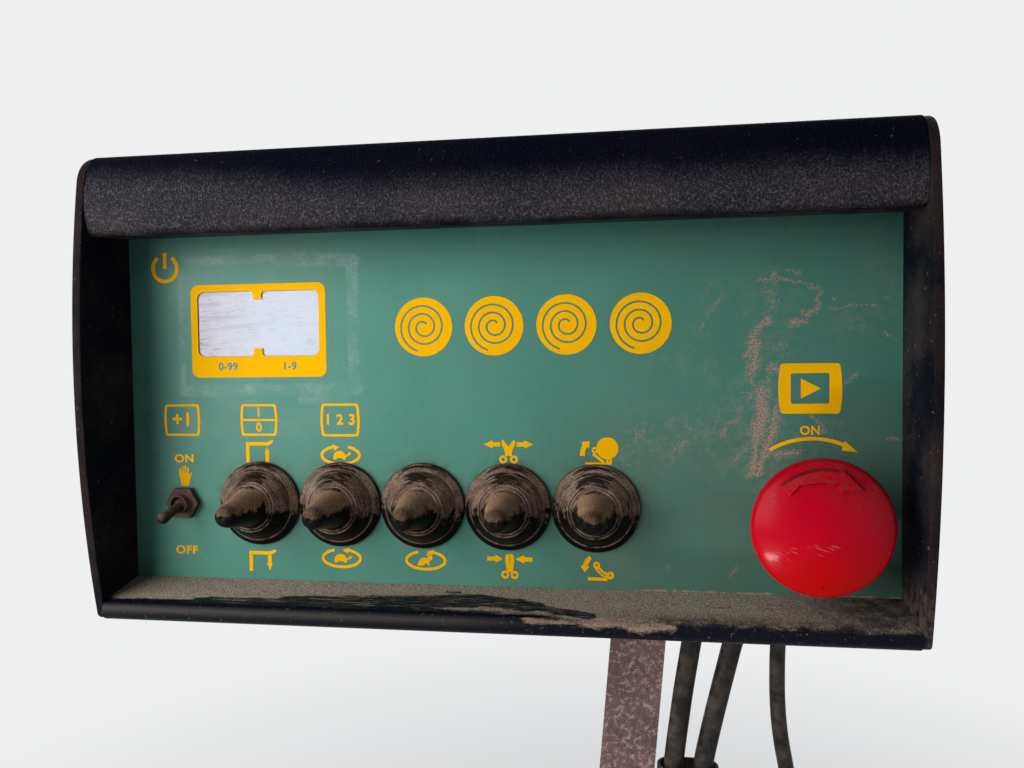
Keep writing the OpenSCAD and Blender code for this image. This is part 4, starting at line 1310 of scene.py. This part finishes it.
def seen(tree):
    """1 for what the camera sees, directly, in gloss or through glass, and 0 for the light on the object."""
    rays = tree.nodes.new("ShaderNodeLightPath")
    direct, gloss, through = (Value(rays, f"Is {kind} Ray") for kind in ("Camera", "Glossy", "Transmission"))
    return direct.most(gloss).most(through)


def make_floor():
    """A pale floor that keeps the shadow near the foot and fades into the pale surroundings."""
    shader = Shader("pale_floor", roughness=0.9, specular=0.1)
    shader.set(Base_Color=(0.80, 0.80, 0.80))
    distance = shader.value("ShaderNodeVectorMath", {0: shader.place}, "Value", operation="LENGTH")
    far = distance.step(0.12, 0.50).blend(0.66, 1.0) * seen(shader.tree)
    glow = shader.value("ShaderNodeEmission", {"Color": PALE})
    fade = shader.value("ShaderNodeMixShader", {0: far, 1: Value(shader.surface), 2: glow})
    feed(shader.tree.nodes["Material Output"].inputs["Surface"], fade)
    bm = bmesh.new()
    bmesh.ops.create_circle(bm, cap_ends=True, segments=64, radius=6.0)
    link(bpy.data.objects.new("floor", new_mesh("floor", bm)), shader.material)


def make_world():
    """A pale backdrop, and soft light that is dim from the front and brighter from behind and above."""
    front, behind, above = (0.075, 0.08, 0.085), (0.50, 0.56, 0.66), (0.05, 0.06, 0.09)
    world = bpy.data.worlds.new("surroundings")
    bpy.context.scene.world = world
    world.use_nodes = True
    tree = world.node_tree
    direction = Value(tree.nodes.new("ShaderNodeTexCoord"), "Generated")
    colour = direction.part(1).step(-0.1, 0.7, smooth=False).mix(front, behind)
    colour = direction.part(2).step(0.2, 1.0, smooth=False).mix(colour, above)
    light = tree.nodes["Background"]
    feed(light.inputs["Color"], colour)
    backdrop = add_node(tree, "ShaderNodeBackground", {"Color": PALE})
    both = add_node(tree, "ShaderNodeMixShader", {0: seen(tree), 1: Value(light), 2: Value(backdrop)})
    feed(tree.nodes["World Output"].inputs["Surface"], Value(both))


def make_lamp(name, place, target, size, glow, colour=(1, 1, 1), spread=180):
    """An area lamp. Its glow is its radiance: 1 is as bright as white paper in plain light."""
    data = bpy.data.lights.new(name, "AREA")
    data.shape = "RECTANGLE"
    data.size, data.size_y = size
    data.energy = glow * math.pi * size[0] * size[1]
    data.color = colour
    data.spread = math.radians(spread)
    lamp = bpy.data.objects.new(name, data)
    lamp.location = place
    lamp.rotation_euler = (Vector(target) - Vector(place)).to_track_quat("-Z", "Y").to_euler()
    bpy.context.scene.collection.objects.link(lamp)


def make_light():
    middle = (-0.03, -0.05, 0.255)
    make_lamp("left_window", (-0.44, -0.42, 0.36), middle, (0.46, 0.46), 6.0)
    make_lamp("right_window", (0.62, -0.50, 0.22), middle, (0.40, 0.40), 0.45)
    button = centre("stop_head")
    make_lamp("low_field", (-0.088, -0.243, 0.045), button, (0.07, 0.022), 0.78, (1.0, 0.95, 0.95), spread=16)
    make_lamp("behind", (0.4, 1.1, 0.9), middle, (0.9, 0.6), 1.0, (0.95, 0.98, 1.0))


make_camera()
sheath, film = dress_all()
make_leads(sheath)
make_boots(rubber_material())
print_legends(ink_material(), film)
make_stop_arrow(arrow_material())
make_floor()
make_world()
make_light()

scene = bpy.context.scene
scene.view_settings.view_transform = "Standard"
